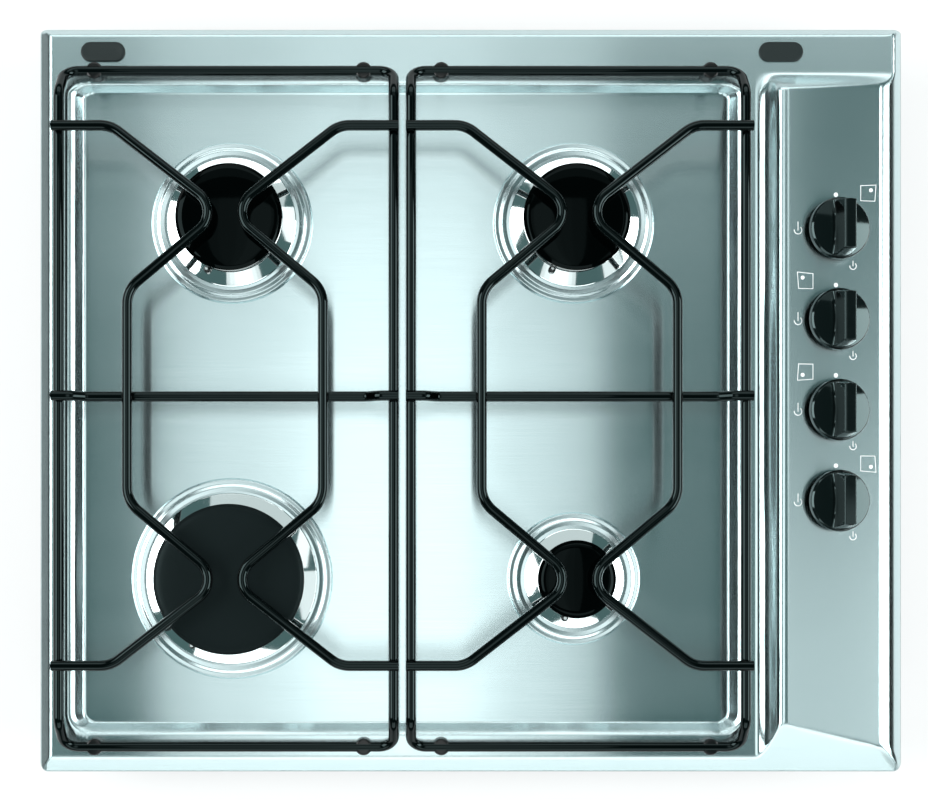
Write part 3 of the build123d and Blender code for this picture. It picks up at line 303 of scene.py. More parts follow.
def round_corner_of_outline(x, y):
    """Pull the grid's corner squares in to the quarter ellipses of the plate's outline."""
    for side_x, run_x in ((-1, EDGE_RUNS["left"]), (1, EDGE_RUNS["right"])):
        for side_y, run_y in ((-1, EDGE_RUNS["front"]), (1, EDGE_RUNS["rear"])):
            size_x, size_y = EDGE_CORNER * run_x, EDGE_CORNER * run_y
            centre_x = (LEFT + size_x) if side_x < 0 else (RIGHT - size_x)
            centre_y = (FRONT + size_y) if side_y < 0 else (REAR - size_y)
            u = side_x * (x - centre_x) / size_x
            v = side_y * (y - centre_y) / size_y
            corner = (u > 0) & (v > 0)
            pull_u = np.sqrt(1 - np.clip(v, 0, 1) ** 2 / 2)
            x = np.where(corner, centre_x + side_x * size_x * u * pull_u, x)
            pull_v = np.sqrt(1 - np.clip(u, 0, 1) ** 2 / 2)
            y = np.where(corner, centre_y + side_y * size_y * v * pull_v, y)
    return x, y


def grid_quads(rows, columns):
    """Faces of a grid of points that are numbered row by row."""
    return [(first, first + 1, first + columns + 1, first + columns)
            for row in range(rows - 1) for first in range(row * columns, (row + 1) * columns - 1)]


def band_quads(here, there, count):
    """Faces between two closed rows of points, which start at two numbers."""
    return [(here + i, here + (i + 1) % count, there + (i + 1) % count, there + i)
            for i in range(count)]


def new_piece(name, vertices, faces, material, sharp_angle=40.0):
    """A finished mesh object at the origin, with smooth faces and sharp edges kept sharp."""
    mesh = bpy.data.meshes.new(name)
    mesh.from_pydata([tuple(v) for v in vertices], [], [tuple(f) for f in faces])
    mesh.materials.append(material)
    mesh.shade_smooth()
    mesh.set_sharp_from_angle(angle=radians(sharp_angle))
    return add_object(name, mesh)


def apply_modifiers(piece):
    """Turn a piece and its modifiers into one plain mesh."""
    bpy.context.view_layer.update()
    evaluated = piece.evaluated_get(bpy.context.evaluated_depsgraph_get())
    mesh = bpy.data.meshes.new_from_object(evaluated)
    piece.modifiers.clear()
    piece.data = mesh
    return piece


def principled(name, settings):
    """A material whose Principled shader has some inputs set by name."""
    material = bpy.data.materials.new(name)
    material.use_nodes = True
    shader = material.node_tree.nodes["Principled BSDF"]
    for socket, value in settings.items():
        shader.inputs[socket].default_value = value
    return material


def to_shader(material, output, socket):
    """Link an output to an input of a material's Principled shader."""
    shader = material.node_tree.nodes["Principled BSDF"]
    material.node_tree.links.new(output, shader.inputs[socket])


def metal(name, colour, roughness, **more):
    """A bare metal: its colour is the colour of its reflection."""
    return principled(name, {"Base Color": linear(colour), "Metallic": 1.0,
                             "Roughness": roughness, **more})


def object_coordinates(material, scale):
    """Object coordinates in metres, stretched by one scale or by one for each axis."""
    source = add_node(material, "TexCoord")["Object"]
    scales = scale if isinstance(scale, tuple) else (scale, scale, scale)
    return add_node(material, "Mapping", {"Vector": source, "Scale": scales})[0]


def noise(material, scale, detail=2.0, roughness=0.5):
    """Noise with a scale in grains per metre."""
    return add_node(material, "TexNoise", {
        "Vector": object_coordinates(material, scale), "Scale": 1.0, "Detail": detail,
        "Roughness": roughness})["Fac"]


def mixed(material, share, first, second):
    """A colour between two colours."""
    return add_node(material, "Mix", {0: share, 6: first, 7: second}, data_type="RGBA")[2]


def vary_roughness(material, pattern, low, high):
    """Let a pattern move the roughness between two values."""
    rough = add_node(material, "MapRange",
                     {"Value": pattern, "To Min": low, "To Max": high})
    to_shader(material, rough[0], "Roughness")


def vary_colour(material, pattern, first, second):
    """Let a pattern move the colour between two sRGB colours."""
    to_shader(material, mixed(material, pattern, linear(first), linear(second)), "Base Color")


def add_bump(material, pattern, strength, distance):
    """Let a pattern raise and sink the surface by a distance in metres."""
    bump = add_node(material, "Bump",
                    {"Height": pattern, "Strength": strength, "Distance": distance})
    to_shader(material, bump[0], "Normal")


def brushed_stainless():
    """Austenitic stainless sheet, belt-brushed across the hob: fine even lines, along X, that
    spread reflections front to back and leave them clear from side to side, over a faint
    unevenness from rolling. The lines are drawn about three times as coarse as real ones."""
    line_length, line_spacing = 45 * MM, 0.35 * MM
    rolling = (9, 26, 26)
    material = metal("brushed_stainless_steel", "#CBDEE0", 0.21, Anisotropic=1.0)
    spread_along = add_node(material, "CombineXYZ", {"X": 0.0, "Y": 1.0, "Z": 0.0})
    to_shader(material, spread_along[0], "Tangent")
    lines = noise(material, (1 / line_length, 1 / line_spacing, 1 / line_spacing), roughness=0.6)
    vary_roughness(material, noise(material, rolling, 3.0), 0.195, 0.225)
    vary_colour(material, lines, "#C2D7D9", "#D4E5E7")
    add_bump(material, lines, 0.06, 0.03 * MM)
    return material


BRUSHED_STAINLESS = brushed_stainless()
BURNERS = ("rear_left", "rear_right", "front_left", "front_right")
HOLE_RADIUS = 22.0              # openings under the burners
FINE_STEP, CREST_STEP, COARSE_STEP, PANEL_STEP = 0.8, 0.7, 8, 6


def burner_centre(name):
    """Centre of a burner."""
    low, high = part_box(name + "_burner_cap")
    return (low.x + high.x) / 2 / MM, (low.y + high.y) / 2 / MM


def hob_plate():
    """The plate as a grid over its outline, fine where it slopes, thickened downwards."""
    x_lines = grid_lines(LEFT, [(LEFT + 36, FINE_STEP), (RIGHT - 126, COARSE_STEP),
                                (RIGHT - 76, CREST_STEP), (RIGHT - 24, PANEL_STEP),
                                (RIGHT, CREST_STEP)])
    y_lines = grid_lines(FRONT, [(FRONT + 42, FINE_STEP), (REAR - 50, COARSE_STEP),
                                 (REAR, FINE_STEP)])
    x, y = round_corner_of_outline(*np.meshgrid(x_lines, y_lines))
    vertices = np.stack([x, y, plate_height(x, y)], -1).reshape(-1, 3) * MM
    centres = [burner_centre(name) for name in BURNERS]
    faces = []
    for quad in grid_quads(len(y_lines), len(x_lines)):
        row, column = divmod(quad[0], len(x_lines))
        mid_x = (x_lines[column] + x_lines[column + 1]) / 2
        mid_y = (y_lines[row] + y_lines[row + 1]) / 2
        if min(hypot(mid_x - cx, mid_y - cy) for cx, cy in centres) > HOLE_RADIUS:
            faces.append(quad)
    plate = new_piece("hob_plate_sheet", vertices, faces, BRUSHED_STAINLESS)
    thickness = plate.modifiers.new("sheet", "SOLIDIFY")
    thickness.thickness = SHEET * MM
    thickness.offset = -1
    return apply_modifiers(plate)


plate = hob_plate()
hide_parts("hob_plate")
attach(plate, "hob")


# -------- hinge slot plugs
# Two push-in caps, injection-moulded in satin polypropylene, close the slots in the rear ledge
# where a glass lid's hinges can go.
def moulded(name, colour, roughness, grain_size, grain_depth):
    """An injection-moulded plastic or rubber with a fine eroded grain."""
    material = principled(name, {"Roughness": roughness, "IOR": 1.4})
    grain = noise(material, 1 / (grain_size * MM))
    darker = [channel * 0.8 for channel in linear(colour)[:3]] + [1.0]
    to_shader(material, mixed(material, grain, darker, linear(colour)), "Base Color")
    add_bump(material, grain, 0.3, grain_depth * MM)
    return material


PLUG_PLASTIC = moulded("satin_polypropylene", "#0A1A1A", 0.55, 0.5, 0.03)
PLUG_LENGTH, PLUG_WIDTH = 29.8, 13.2
# Outlines of a plug from its shank up: how far inside its widest outline, height above the rim.
PLUG_LEVELS = ((1.7, -4.0), (1.6, -0.2), (0.0, 0.0), (0.0, 0.55), (0.25, 0.95), (0.8, 1.18),
               (1.8, 1.2), (3.2, 0.95), (6.0, 0.9))


def stadium(length, width, inset, steps=20):
    """Outline of a slot with round ends."""
    radius = width / 2 - inset
    half = (length - width) / 2
    angles = [-pi / 2 + pi * i / steps for i in range(steps + 1)]
    right = [(half + radius * cos(a), radius * sin(a)) for a in angles]
    return right + [(-x, -y) for x, y in right]


def stacked(name, rings, material):
    """A closed solid through a stack of outlines with equally many points."""
    count = len(rings[0])
    vertices = [point for ring in rings for point in ring]
    last = (len(rings) - 1) * count
    faces = [quad for here in range(0, last, count)
             for quad in band_quads(here, here + count, count)]
    faces += [tuple(reversed(range(count))), tuple(range(last, last + count))]
    return new_piece(name, vertices, faces, material)


def joined(name, pieces):
    """Several mesh objects as one, under a new name."""
    mesh = bmesh.new()
    for piece in pieces:
        mesh.from_mesh(piece.data)
    joined_mesh = bpy.data.meshes.new(name)
    mesh.to_mesh(joined_mesh)
    mesh.free()
    for material in pieces[0].data.materials:
        joined_mesh.materials.append(material)
    for piece in pieces:
        bpy.data.objects.remove(piece)
    return add_object(name, joined_mesh)


def hinge_slot_plugs():
    """Both plugs: a low dished head with a rounded edge, and a plain shank through the slot."""
    low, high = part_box("hinge_slot_plugs")
    centre_y = (low.y + high.y) / 2 / MM
    plugs = []
    for centre_x in (low.x / MM + PLUG_LENGTH / 2, high.x / MM - PLUG_LENGTH / 2):
        rings = []
        for inset, height in PLUG_LEVELS:
            outline = stadium(PLUG_LENGTH, PLUG_WIDTH, inset)
            rings.append([((centre_x + x) * MM, (centre_y + y) * MM, RIM_Z + height * MM)
                          for x, y in outline])
        plugs.append(stacked("plug", rings, PLUG_PLASTIC))
    return joined("hinge_slot_plug_pair", plugs)


plugs = hinge_slot_plugs()
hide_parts("hinge_slot_plugs")
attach(plugs, "hob")


# -------- bottom case and its fittings
# A folded tray of galvanised steel closes the hob from below. A rubber bush in its rear wall takes
# the mains lead, a foam strip seals the plate to the worktop, and hooked strips clamp the hob.
def galvanised_steel():
    """Hot-dip galvanised sheet: dull grey with flat crystals of frozen zinc, some 8 mm across."""
    material = metal("galvanised_sheet", "#A8ADAF", 0.42)
    crystals = add_node(material, "TexVoronoi", {
        "Vector": object_coordinates(material, 125), "Scale": 1.0})["Color"]
    vary_colour(material, crystals, "#94999B", "#B9BEC0")
    vary_roughness(material, crystals, 0.34, 0.52)
    return material


def hazy_metal(name, colour, roughness, scale, detail, smoothest, roughest):
    """A bare metal whose sheen varies a little with the marks of turning, drawing or polishing."""
    material = metal(name, colour, roughness)
    vary_roughness(material, noise(material, scale, detail), smoothest, roughest)
    return material


def brass():
    """Machined brass, slightly dulled, with fine turning marks."""
    material = metal("machined_brass", "#C9A864", 0.28)
    vary_colour(material, noise(material, (300, 300, 2500)), "#B5914E", "#D8BC7C")
    return material


GALVANISED = galvanised_steel()
ZINC_STEEL = hazy_metal("zinc_plated_steel", "#C2C6C8", 0.3, 900, 2.0, 0.22, 0.4)
BRASS = brass()
BLACK_RUBBER = moulded("moulded_rubber", "#1B1D1D", 0.62, 0.6, 0.05)
GREY_FOAM = moulded("closed_cell_foam", "#4A4D4E", 0.9, 0.9, 0.25)
WHITE_PLASTIC = moulded("white_polyamide", "#DEDDD6", 0.45, 0.8, 0.03)


def finish_nodes(names, material):
    """Give CAD nodes whose shape is right their material."""
    for name in names:
        mesh = nodes[name].data
        mesh.materials.clear()
        mesh.materials.append(material)


finish_nodes(["bottom_case", "worktop_clamps", "tap_bonnets"], GALVANISED)
finish_nodes(["clamp_screws", "tap_screws", "gas_rail", "burner_gas_pipes"], ZINC_STEEL)
finish_nodes(["cable_grommet", "knob_seals"], BLACK_RUBBER)
finish_nodes(["worktop_seal"], GREY_FOAM)
finish_nodes(["gas_inlet_elbow", "gas_injectors"], BRASS)
finish_nodes(["ignition_switches", "ignition_unit"], WHITE_PLASTIC)


# -------- burner rings
# A pressed and polished stainless ring lies in the well round each burner: an outer bead, a groove,
# a ridge, and a raised collar under the burner's base.
POLISHED_STEEL = hazy_metal("polished_stainless_steel", "#C6D6D8", 0.22, 60, 4.0, 0.19, 0.26)
SIZES = {                       # outer radii
    "rear_left": {"cap": 35.5, "flange": 43.7, "ring": 54.5},
    "rear_right": {"cap": 35.5, "flange": 43.7, "ring": 54.5},
    "front_left": {"cap": 50.0, "flange": 57.75, "ring": 68.0},
    "front_right": {"cap": 26.0, "flange": 33.8, "ring": 45.0},
}
RING_BORE_INSET = 8.2           # inside the cap's radius
WELL_FLOOR_Z = BASE_Z + RIM_RISE - WELL_DROP
LATHE_SHARP_ANGLE = 30.0
ARC_STEPS = 6


def rounded_profile(points, radii):
    """A profile of (radius, height) points with its corners rounded by arcs."""
    nearly_straight = pi / 2 - 0.02
    shaped = [points[0]]
    for before, corner, after, radius in zip(points, points[1:], points[2:], radii):
        apex = Vector(corner)
        to_before, to_after = Vector(before) - apex, Vector(after) - apex
        half = to_before.angle(to_after) / 2
        if radius <= 0 or half > nearly_straight:
            shaped.append(corner)
            continue
        reach = min(radius / tan(half), 0.49 * to_before.length, 0.49 * to_after.length)
        start = apex + to_before.normalized() * reach
        end = apex + to_after.normalized() * reach
        for share in (step / ARC_STEPS for step in range(ARC_STEPS + 1)):
            shaped.append(tuple(start.lerp(apex, share).lerp(apex.lerp(end, share), share)))
    return shaped + [points[-1]]


def clean_mesh(piece, merge, shortest, sharp_angle):
    """Merge double points, take out faces without area and turn all faces outward."""
    shape = bmesh.new()
    shape.from_mesh(piece.data)
    bmesh.ops.remove_doubles(shape, verts=shape.verts, dist=merge)
    bmesh.ops.dissolve_degenerate(shape, edges=shape.edges, dist=shortest)
    bmesh.ops.recalc_face_normals(shape, faces=shape.faces)
    shape.to_mesh(piece.data)
    shape.free()
    piece.data.set_sharp_from_angle(angle=radians(sharp_angle))


def lathe(name, profile, centre, base_z, material, segments=128):
    """Turn a closed profile of (radius, height) points about an upright axis."""
    vertices = []
    faces = []
    count = len(profile)
    for step in range(segments):
        angle = 2 * pi * step / segments
        for radius, height in profile:
            vertices.append(((centre[0] + radius * cos(angle)) * MM,
                             (centre[1] + radius * sin(angle)) * MM, (base_z + height) * MM))
        faces += band_quads(step * count, (step + 1) % segments * count, count)
    piece = new_piece(name, vertices, faces, material, LATHE_SHARP_ANGLE)
    clean_mesh(piece, 1e-6, 1e-7, LATHE_SHARP_ANGLE)
    return piece


def burner_piece(name, ending, points, radii, material):
    """A rounded profile turned about a burner's axis, with heights above the well's floor."""
    profile = rounded_profile(points, radii)
    if points[0] == points[-1]:
        profile.pop()
    return lathe(name + ending, profile, burner_centre(name), WELL_FLOOR_Z, material)


def burner_ring(name):
    """One ring, with every crease of the pressing rounded."""
    size = SIZES[name]
    edge, lip, bore = size["ring"], size["flange"], size["cap"] - RING_BORE_INSET
    points = [(edge - 0.9, 0.0), (edge, 0.0), (edge - 1.2, 2.5), (edge - 4.0, 2.1),
              (edge - 6.2, 3.3), (edge - 9.0, 2.8), (lip - 3.0, 3.1), (lip - 7.5, 3.4),
              (bore, 3.4), (bore, 2.6), (lip - 8.2, 2.6), (lip - 4.2, 2.3), (edge - 6.2, 2.4),
              (edge - 3.0, 1.2), (edge - 0.9, 0.0)]
    radii = [0.1, 1.0, 1.6, 1.6, 2.0, 1.5, 1.5, 0.1, 0.1, 1.0, 1.0, 1.0, 0.5]
    return burner_piece(name, "_pressed_ring", points, radii, POLISHED_STEEL)


rings = joined("burner_pressed_rings", [burner_ring(name) for name in BURNERS])
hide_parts("burner_rings")
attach(rings, "hob")


# -------- burner bases
# Each burner stands on a die-cast aluminium base: a turned flange, polished like a mirror, shows
# above the ring, and the cup with the injector's seat and the gas boss hangs below the plate.
POLISHED_ALUMINIUM = hazy_metal("polished_aluminium", "#E2ECEC", 0.05, 180, 3.0, 0.03, 0.075)
# Sand-blasted die-cast aluminium: pale grey, finely rough from the mould.
CAST_ALUMINIUM = metal("die_cast_aluminium", "#A9B0B1", 0.48)
add_bump(CAST_ALUMINIUM, noise(CAST_ALUMINIUM, 1400), 0.4, 0.08 * MM)

CUP_LOW_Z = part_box("burner_cups")[0].z / MM - WELL_FLOOR_Z
CUP_INSET, CUP_WALL = 8.5, 2.0  # the cup's outside is this much smaller in radius than the cap
BOSS_HEIGHT, BOSS_RADIUS, BOSS_REACH, BOSS_BORE = 6.0, 5.5, 8.0, 3.1


def burner_flange(name):
    """The polished flange: a flat seat for the head, a conical face and a lip over the ring."""
    size = SIZES[name]
    seat, lip, inner = size["cap"] - 1.0, size["flange"], size["cap"] - CUP_INSET - 1.0
    points = [(inner, 7.0), (inner, 8.0), (seat, 8.0), (lip - 0.6, 4.9), (lip, 4.5),
              (lip - 0.7, 4.1), (seat, 5.4), (inner, 5.4), (inner, 7.0)]
    radii = [0.1, 0.3, 0.5, 0.4, 0.3, 0.5, 0.1]
    return burner_piece(name, "_flange", points, radii, POLISHED_ALUMINIUM)


def cast_cup(name):
    """The cup below: a thin wall, a floor with the injector's seat, and a bored pipe boss."""
    outer = SIZES[name]["cap"] - CUP_INSET
    inner = outer - CUP_WALL
    cup_floor, seat_top = CUP_LOW_Z + CUP_WALL, CUP_LOW_Z + 12.0
    points = [(0.0, CUP_LOW_Z), (outer, CUP_LOW_Z), (outer, 6.0), (outer, 7.9), (inner, 7.9),
              (inner, cup_floor), (9.5, cup_floor), (7.5, seat_top), (0.0, seat_top)]
    radii = [1.2, 0.0, 0.3, 0.3, 1.6, 1.2, 0.6]
    body = burner_piece(name, "_cup", points, radii, CAST_ALUMINIUM)
    boss_end = BOSS_REACH + 1.0
    boss = [(BOSS_BORE, 0.0), (BOSS_BORE, boss_end), (BOSS_RADIUS - 0.5, boss_end),
            (BOSS_RADIUS, boss_end - 0.5), (BOSS_RADIUS, 0.0)]
    pipe_boss = lathe(name + "_boss", boss, (0.0, 0.0), 0.0, CAST_ALUMINIUM, segments=32)
    turn = Matrix.Rotation(radians(90), 4, "Y")
    x, y = burner_centre(name)
    place = Vector((x + outer - 1.0, y, WELL_FLOOR_Z + CUP_LOW_Z + BOSS_HEIGHT)) * MM
    pipe_boss.data.transform(Matrix.Translation(place) @ turn)
    return joined(name + "_cast_cup", [body, pipe_boss])


flanges = joined("burner_flanges", [burner_flange(name) for name in BURNERS])
cups = joined("burner_cast_cups", [cast_cup(name) for name in BURNERS])
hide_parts("burner_cups")
for made, slot in ((flanges, "polished_aluminium"), (cups, "die_cast_aluminium")):
    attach(made, "hob")
finish_nodes(["tap_bodies"] + [name + "_burner_head" for name in BURNERS], CAST_ALUMINIUM)


# -------- burner caps
# Steel discs coated with black vitreous enamel close the flame spreaders. The three smaller ones
# are glossy, the large one has a matt grey-black coat. They simply lie in place.
TEAL_SHEEN = linear("#BFE0E0")


def enamel(name, colour, roughness, ripple, gloss):
    """Vitreous enamel: glass fused on steel, smooth but faintly wavy like orange peel."""
    material = principled(name, {"IOR": gloss, "Specular Tint": TEAL_SHEEN,
                                 "Base Color": linear(colour)})
    waves = noise(material, 400)
    add_bump(material, waves, ripple, 0.05 * MM)
    vary_roughness(material, waves, roughness * 0.8, roughness * 1.25)
    return material


GLOSS_ENAMEL = enamel("gloss_black_enamel", "#010202", 0.05, 0.06, 1.17)
MATT_ENAMEL = enamel("matt_black_enamel", "#070C0D", 0.42, 0.4, 1.27)
ROD_ENAMEL = enamel("rod_black_enamel", "#010202", 0.045, 0.05, 1.36)
CROWN_RISE = 1.9                # of the cap's slightly domed top, over its bevelled edge
CAP_TOP = 25.5


def burner_cap(name):
    """One cap: flat underside with a locating lip, short side, bevelled edge, crowned top."""
    edge = SIZES[name]["cap"]
    lip = edge - 6.8
    crown = [((edge - 3.0) * cos(radians(a)), CAP_TOP - CROWN_RISE + CROWN_RISE * sin(radians(a)))
             for a in range(10, 90, 10)]
    points = [(0.0, 19.0), (lip - 3.0, 19.0), (lip - 3.0, 15.0), (lip, 15.0), (lip, 17.0),
              (edge, 17.0), (edge, 21.6), (edge - 2.2, 23.4)] + crown + [(0.0, CAP_TOP)]
    radii = [0.3, 0.4, 0.3, 0.2, 0.5, 0.9, 0.6] + [0.0] * len(crown)
    material = MATT_ENAMEL if name == "front_left" else GLOSS_ENAMEL
    return burner_piece(name, "_enamelled_cap", points, radii, material)


for name in BURNERS:
    cap = burner_cap(name)
    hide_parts(name + "_burner_cap")
    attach(cap, name + "_cap")


# -------- spark electrodes
# A glazed ceramic pin with a bright steel tip stands up through each flange, close to the ports;
# its near-black colour is painted shade. The CAD shape is right, and one material tells ceramic
# from steel by height.
TIP_Z = (WELL_FLOOR_Z + 12.6) * MM


def glazed_ceramic():
    """Glazed alumina coloured near black as painted shade, and above its shoulder the bare steel of
    the tip.
    """
    material = principled("alumina_with_painted_shade", {"Roughness": 0.2})
    place = add_node(material, "SeparateXYZ", {"Vector": object_coordinates(material, 1)})
    on_tip = math_node(material, "GREATER_THAN", place["Z"], TIP_Z)
    # Painted shade: the ceramic's near-black tones stand in for the dark ring round the pin.
    painted_shade_glaze = mixed(material, noise(material, 500, 3.0), linear("#151717"), linear("#232625"))
    to_shader(material, mixed(material, on_tip, painted_shade_glaze, linear("#D5DEDE")), "Base Color")
    to_shader(material, on_tip, "Metallic")
    return material


finish_nodes(["spark_electrodes"], glazed_ceramic())


# -------- pan supports
# Round steel rod, bent cold, resistance-welded where rods cross, and coated with gloss black
# enamel: a closed frame with raised side bars, two long bent fingers, a crossbar, and rubber feet.
ROD = 6.8
ROD_SIDES, BEND_STEPS = 32, 14
FRAME_CORNER, FRAME_LIFT = 10.0, 12.0       # bend radii
FRAME_CLIMB = 18.0
FINGER_SHOULDER_X = 74.3        # half of a finger: shoulder, tip over the burner, straight waist
FINGER_TIP, FINGER_WAIST = (2.5, 120.0), (63.7, 68.7)
FINGER_BENDS = (0.0, 20.0, 14.8, 20.0, 20.0, 14.8, 20.0, 0.0)
CROSSBAR_HIGH_X, CROSSBAR_LOW_X, CROSSBAR_BEND = 101.0, 92.0, 7.0


def new_tree(name, inputs, output):
    """A geometry nodes tree with its sockets, its input and output nodes, and its node maker."""
    tree = bpy.data.node_groups.new(name, "GeometryNodeTree")
    for socket, kind in inputs.items():
        tree.interface.new_socket(socket, in_out="INPUT", socket_type="NodeSocket" + kind)
    tree.interface.new_socket(output, in_out="OUTPUT", socket_type="NodeSocketGeometry")
    ends = [tree.nodes.new("NodeGroup" + end) for end in ("Input", "Output")]
    return tree, *ends, lambda kind: tree.nodes.new("GeometryNode" + kind)


def link_all(tree, links):
    """Make links; each is a node, its output, the next node and its input."""
    for source, output, target, socket in links:
        tree.links.new(source.outputs[output], target.inputs[socket])


def rod_tree():
    """Geometry nodes that fillet a path by its own bend radii and run a round rod along it."""
    tree, given, result, make = new_tree("enamelled_rod", {
        "Path": "Geometry", "Rod radius": "Float", "Bend steps": "Int", "Rod sides": "Int",
        "Coating": "Material"}, "Rod")
    curve = make("MeshToCurve")
    bend = make("InputNamedAttribute")
    bend.data_type = "FLOAT"
    bend.inputs["Name"].default_value = "bend_radius"
    fillet = make("FilletCurve")
    fillet.mode = "POLY"
    fillet.inputs["Limit Radius"].default_value = True
    circle = make("CurvePrimitiveCircle")
    sweep = make("CurveToMesh")
    sweep.inputs["Fill Caps"].default_value = True
    coat, realize = make("SetMaterial"), make("RealizeInstances")
    link_all(tree, (
        (given, "Path", curve, "Mesh"), (curve, "Curve", fillet, "Curve"),
        (bend, "Attribute", fillet, "Radius"), (given, "Bend steps", fillet, "Count"),
        (fillet, "Curve", sweep, "Curve"), (given, "Rod sides", circle, "Resolution"),
        (given, "Rod radius", circle, "Radius"), (circle, "Curve", sweep, "Profile Curve"),
        (sweep, "Mesh", coat, "Geometry"), (given, "Coating", coat, "Material"),
        (coat, "Geometry", realize, "Geometry"), (realize, "Geometry", result, "Rod")))
    return tree


def foot_tree():
    """Geometry nodes that set one rubber foot on every point of a path."""
    tree, given, result, make = new_tree("rubber_feet", {
        "Places": "Geometry", "Foot": "Object", "Rubber": "Material"}, "Feet")
    source, instance = make("ObjectInfo"), make("InstanceOnPoints")
    realize, coat = make("RealizeInstances"), make("SetMaterial")
    link_all(tree, (
        (given, "Places", instance, "Points"), (given, "Foot", source, "Object"),
        (source, "Geometry", instance, "Instance"), (instance, "Instances", realize, "Geometry"),
        (realize, "Geometry", coat, "Geometry"), (given, "Rubber", coat, "Material"),
        (coat, "Geometry", result, "Feet")))
    return tree


ROD_TREE = rod_tree()
FOOT_TREE = foot_tree()
FOOT_RUBBER = moulded("glossy_nitrile_rubber", "#0B0E0E", 0.2, 0.6, 0.02)
FOOT_RADIUS, FOOT_HEIGHT = 5.8, 9.8
foot_profile = rounded_profile([(0.0, 0.0), (5.2, 0.0), (FOOT_RADIUS, 1.2), (5.6, FOOT_HEIGHT),
                                (0.0, FOOT_HEIGHT)], [0.4, 0.8, 1.6])
foot_model = lathe("foot_model", foot_profile, (0.0, 0.0), 0.0, FOOT_RUBBER, segments=32)


def grown(name, path, tree, values):
    """A piece that a geometry nodes tree makes on a path, with the tree's inputs set by name."""
    piece = add_object(name, path)
    modifier = piece.modifiers.new(tree.name, "NODES")
    modifier.node_group = tree
    for item in tree.interface.items_tree:
        if item.in_out == "INPUT" and item.name in values:
            modifier[item.identifier] = values[item.name]
    return apply_modifiers(piece)


def path_mesh(name, points, edges):
    """A mesh of points, given in millimetres, and edges between them."""
    path = bpy.data.meshes.new(name)
    path.from_pydata([tuple(c * MM for c in point) for point in points], edges, [])
    return path


def enamelled_rod(name, points, bends, closed=False):
    """A bent rod through points; bends holds one radius for each point."""
    edges = [(i, i + 1) for i in range(len(points) - 1)]
    if closed:
        edges.append((len(points) - 1, 0))
    path = path_mesh(name, points, edges)
    radius = path.attributes.new("bend_radius", "FLOAT", "POINT")
    radius.data.foreach_set("value", [b * MM for b in bends])
    piece = grown(name, path, ROD_TREE, {
        "Rod radius": ROD / 2 * MM, "Bend steps": BEND_STEPS, "Rod sides": ROD_SIDES,
        "Coating": ROD_ENAMEL})
    piece.data.shade_smooth()
    piece.data.set_sharp_from_angle(angle=radians(50))
    return piece


def node_box(node):
    """Corners of a CAD node's box in millimetres."""
    return [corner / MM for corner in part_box(node)]


def support_frame(side):
    """The closed loop: low front and rear bars on their feet, side bars that climb and run high."""
    low, high = node_box(side + "_support_frame")
    left, right = low.x + ROD / 2, high.x - ROD / 2
    front, rear = low.y + ROD / 2, high.y - ROD / 2
    bar, top = low.z + ROD / 2, high.z - ROD / 2
    up_front, up_rear = front + FRAME_CLIMB, rear - FRAME_CLIMB
    loop = [(left, front, bar), (right, front, bar), (right, up_front, top), (right, up_rear, top),
            (right, rear, bar), (left, rear, bar), (left, up_rear, top), (left, up_front, top)]
    bends = [FRAME_CORNER, FRAME_CORNER, FRAME_LIFT, FRAME_LIFT] * 2
    return enamelled_rod(side + "_frame_rod", loop, bends, closed=True)


def finger_rod(side, hand):
    """One long finger: in over the rear burner, along the waist, in over the front one, and out."""
    low, high = node_box(side + "_support_finger_" + hand)
    middle = sum(corner.x for corner in node_box(side + "_support_frame")) / 2
    toward = -1 if hand == "left" else 1
    end = low.x if hand == "left" else high.x
    entry_y = high.y - ROD / 2
    plan = [(end, entry_y), (middle + toward * FINGER_SHOULDER_X, entry_y)]
    plan += [(middle + toward * x, y) for x, y in (FINGER_TIP, FINGER_WAIST)]
    plan += [(x, -y) for x, y in reversed(plan)]
    axis_z = (low.z + high.z) / 2
    return enamelled_rod(side + "_finger_rod_" + hand, [(x, y, axis_z) for x, y in plan],
                         FINGER_BENDS)


def crossbar_rod(side):
    """The middle bar, which dips inside the side bars and runs under the fingers."""
    low, high = node_box(side + "_support_crossbar")
    middle = (low.x + high.x) / 2
    top, bottom = high.z - ROD / 2, low.z + ROD / 2
    half = [(low.x, 0.0, top), (middle - CROSSBAR_HIGH_X, 0.0, top),
            (middle - CROSSBAR_LOW_X, 0.0, bottom)]
    points = half + [(2 * middle - x, y, z) for x, y, z in reversed(half)]
    return enamelled_rod(side + "_crossbar_rod", points, [0.0] + [CROSSBAR_BEND] * 4 + [0.0])


def support_feet(side):
    """The four feet of one support, from one moulding."""
    low, high = node_box(side + "_support_feet")
    places = [(x, y, low.z) for x in (low.x + FOOT_RADIUS, high.x - FOOT_RADIUS)
              for y in (low.y + FOOT_RADIUS, high.y - FOOT_RADIUS)]
    return grown(side + "_rubber_feet", path_mesh(side + "_feet", places, []), FOOT_TREE,
                 {"Foot": foot_model, "Rubber": FOOT_RUBBER})


for side in ("left", "right"):
    body = side + "_pan_support"
    rods = {"_support_frame": support_frame(side), "_support_finger_left": finger_rod(side, "left"),
            "_support_finger_right": finger_rod(side, "right"),
            "_support_crossbar": crossbar_rod(side)}
    for node, rod in rods.items():
        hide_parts(side + node)
        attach(rod, body)
    feet = support_feet(side)
    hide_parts(side + "_support_feet")
    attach(feet, body)
bpy.data.objects.remove(foot_model)


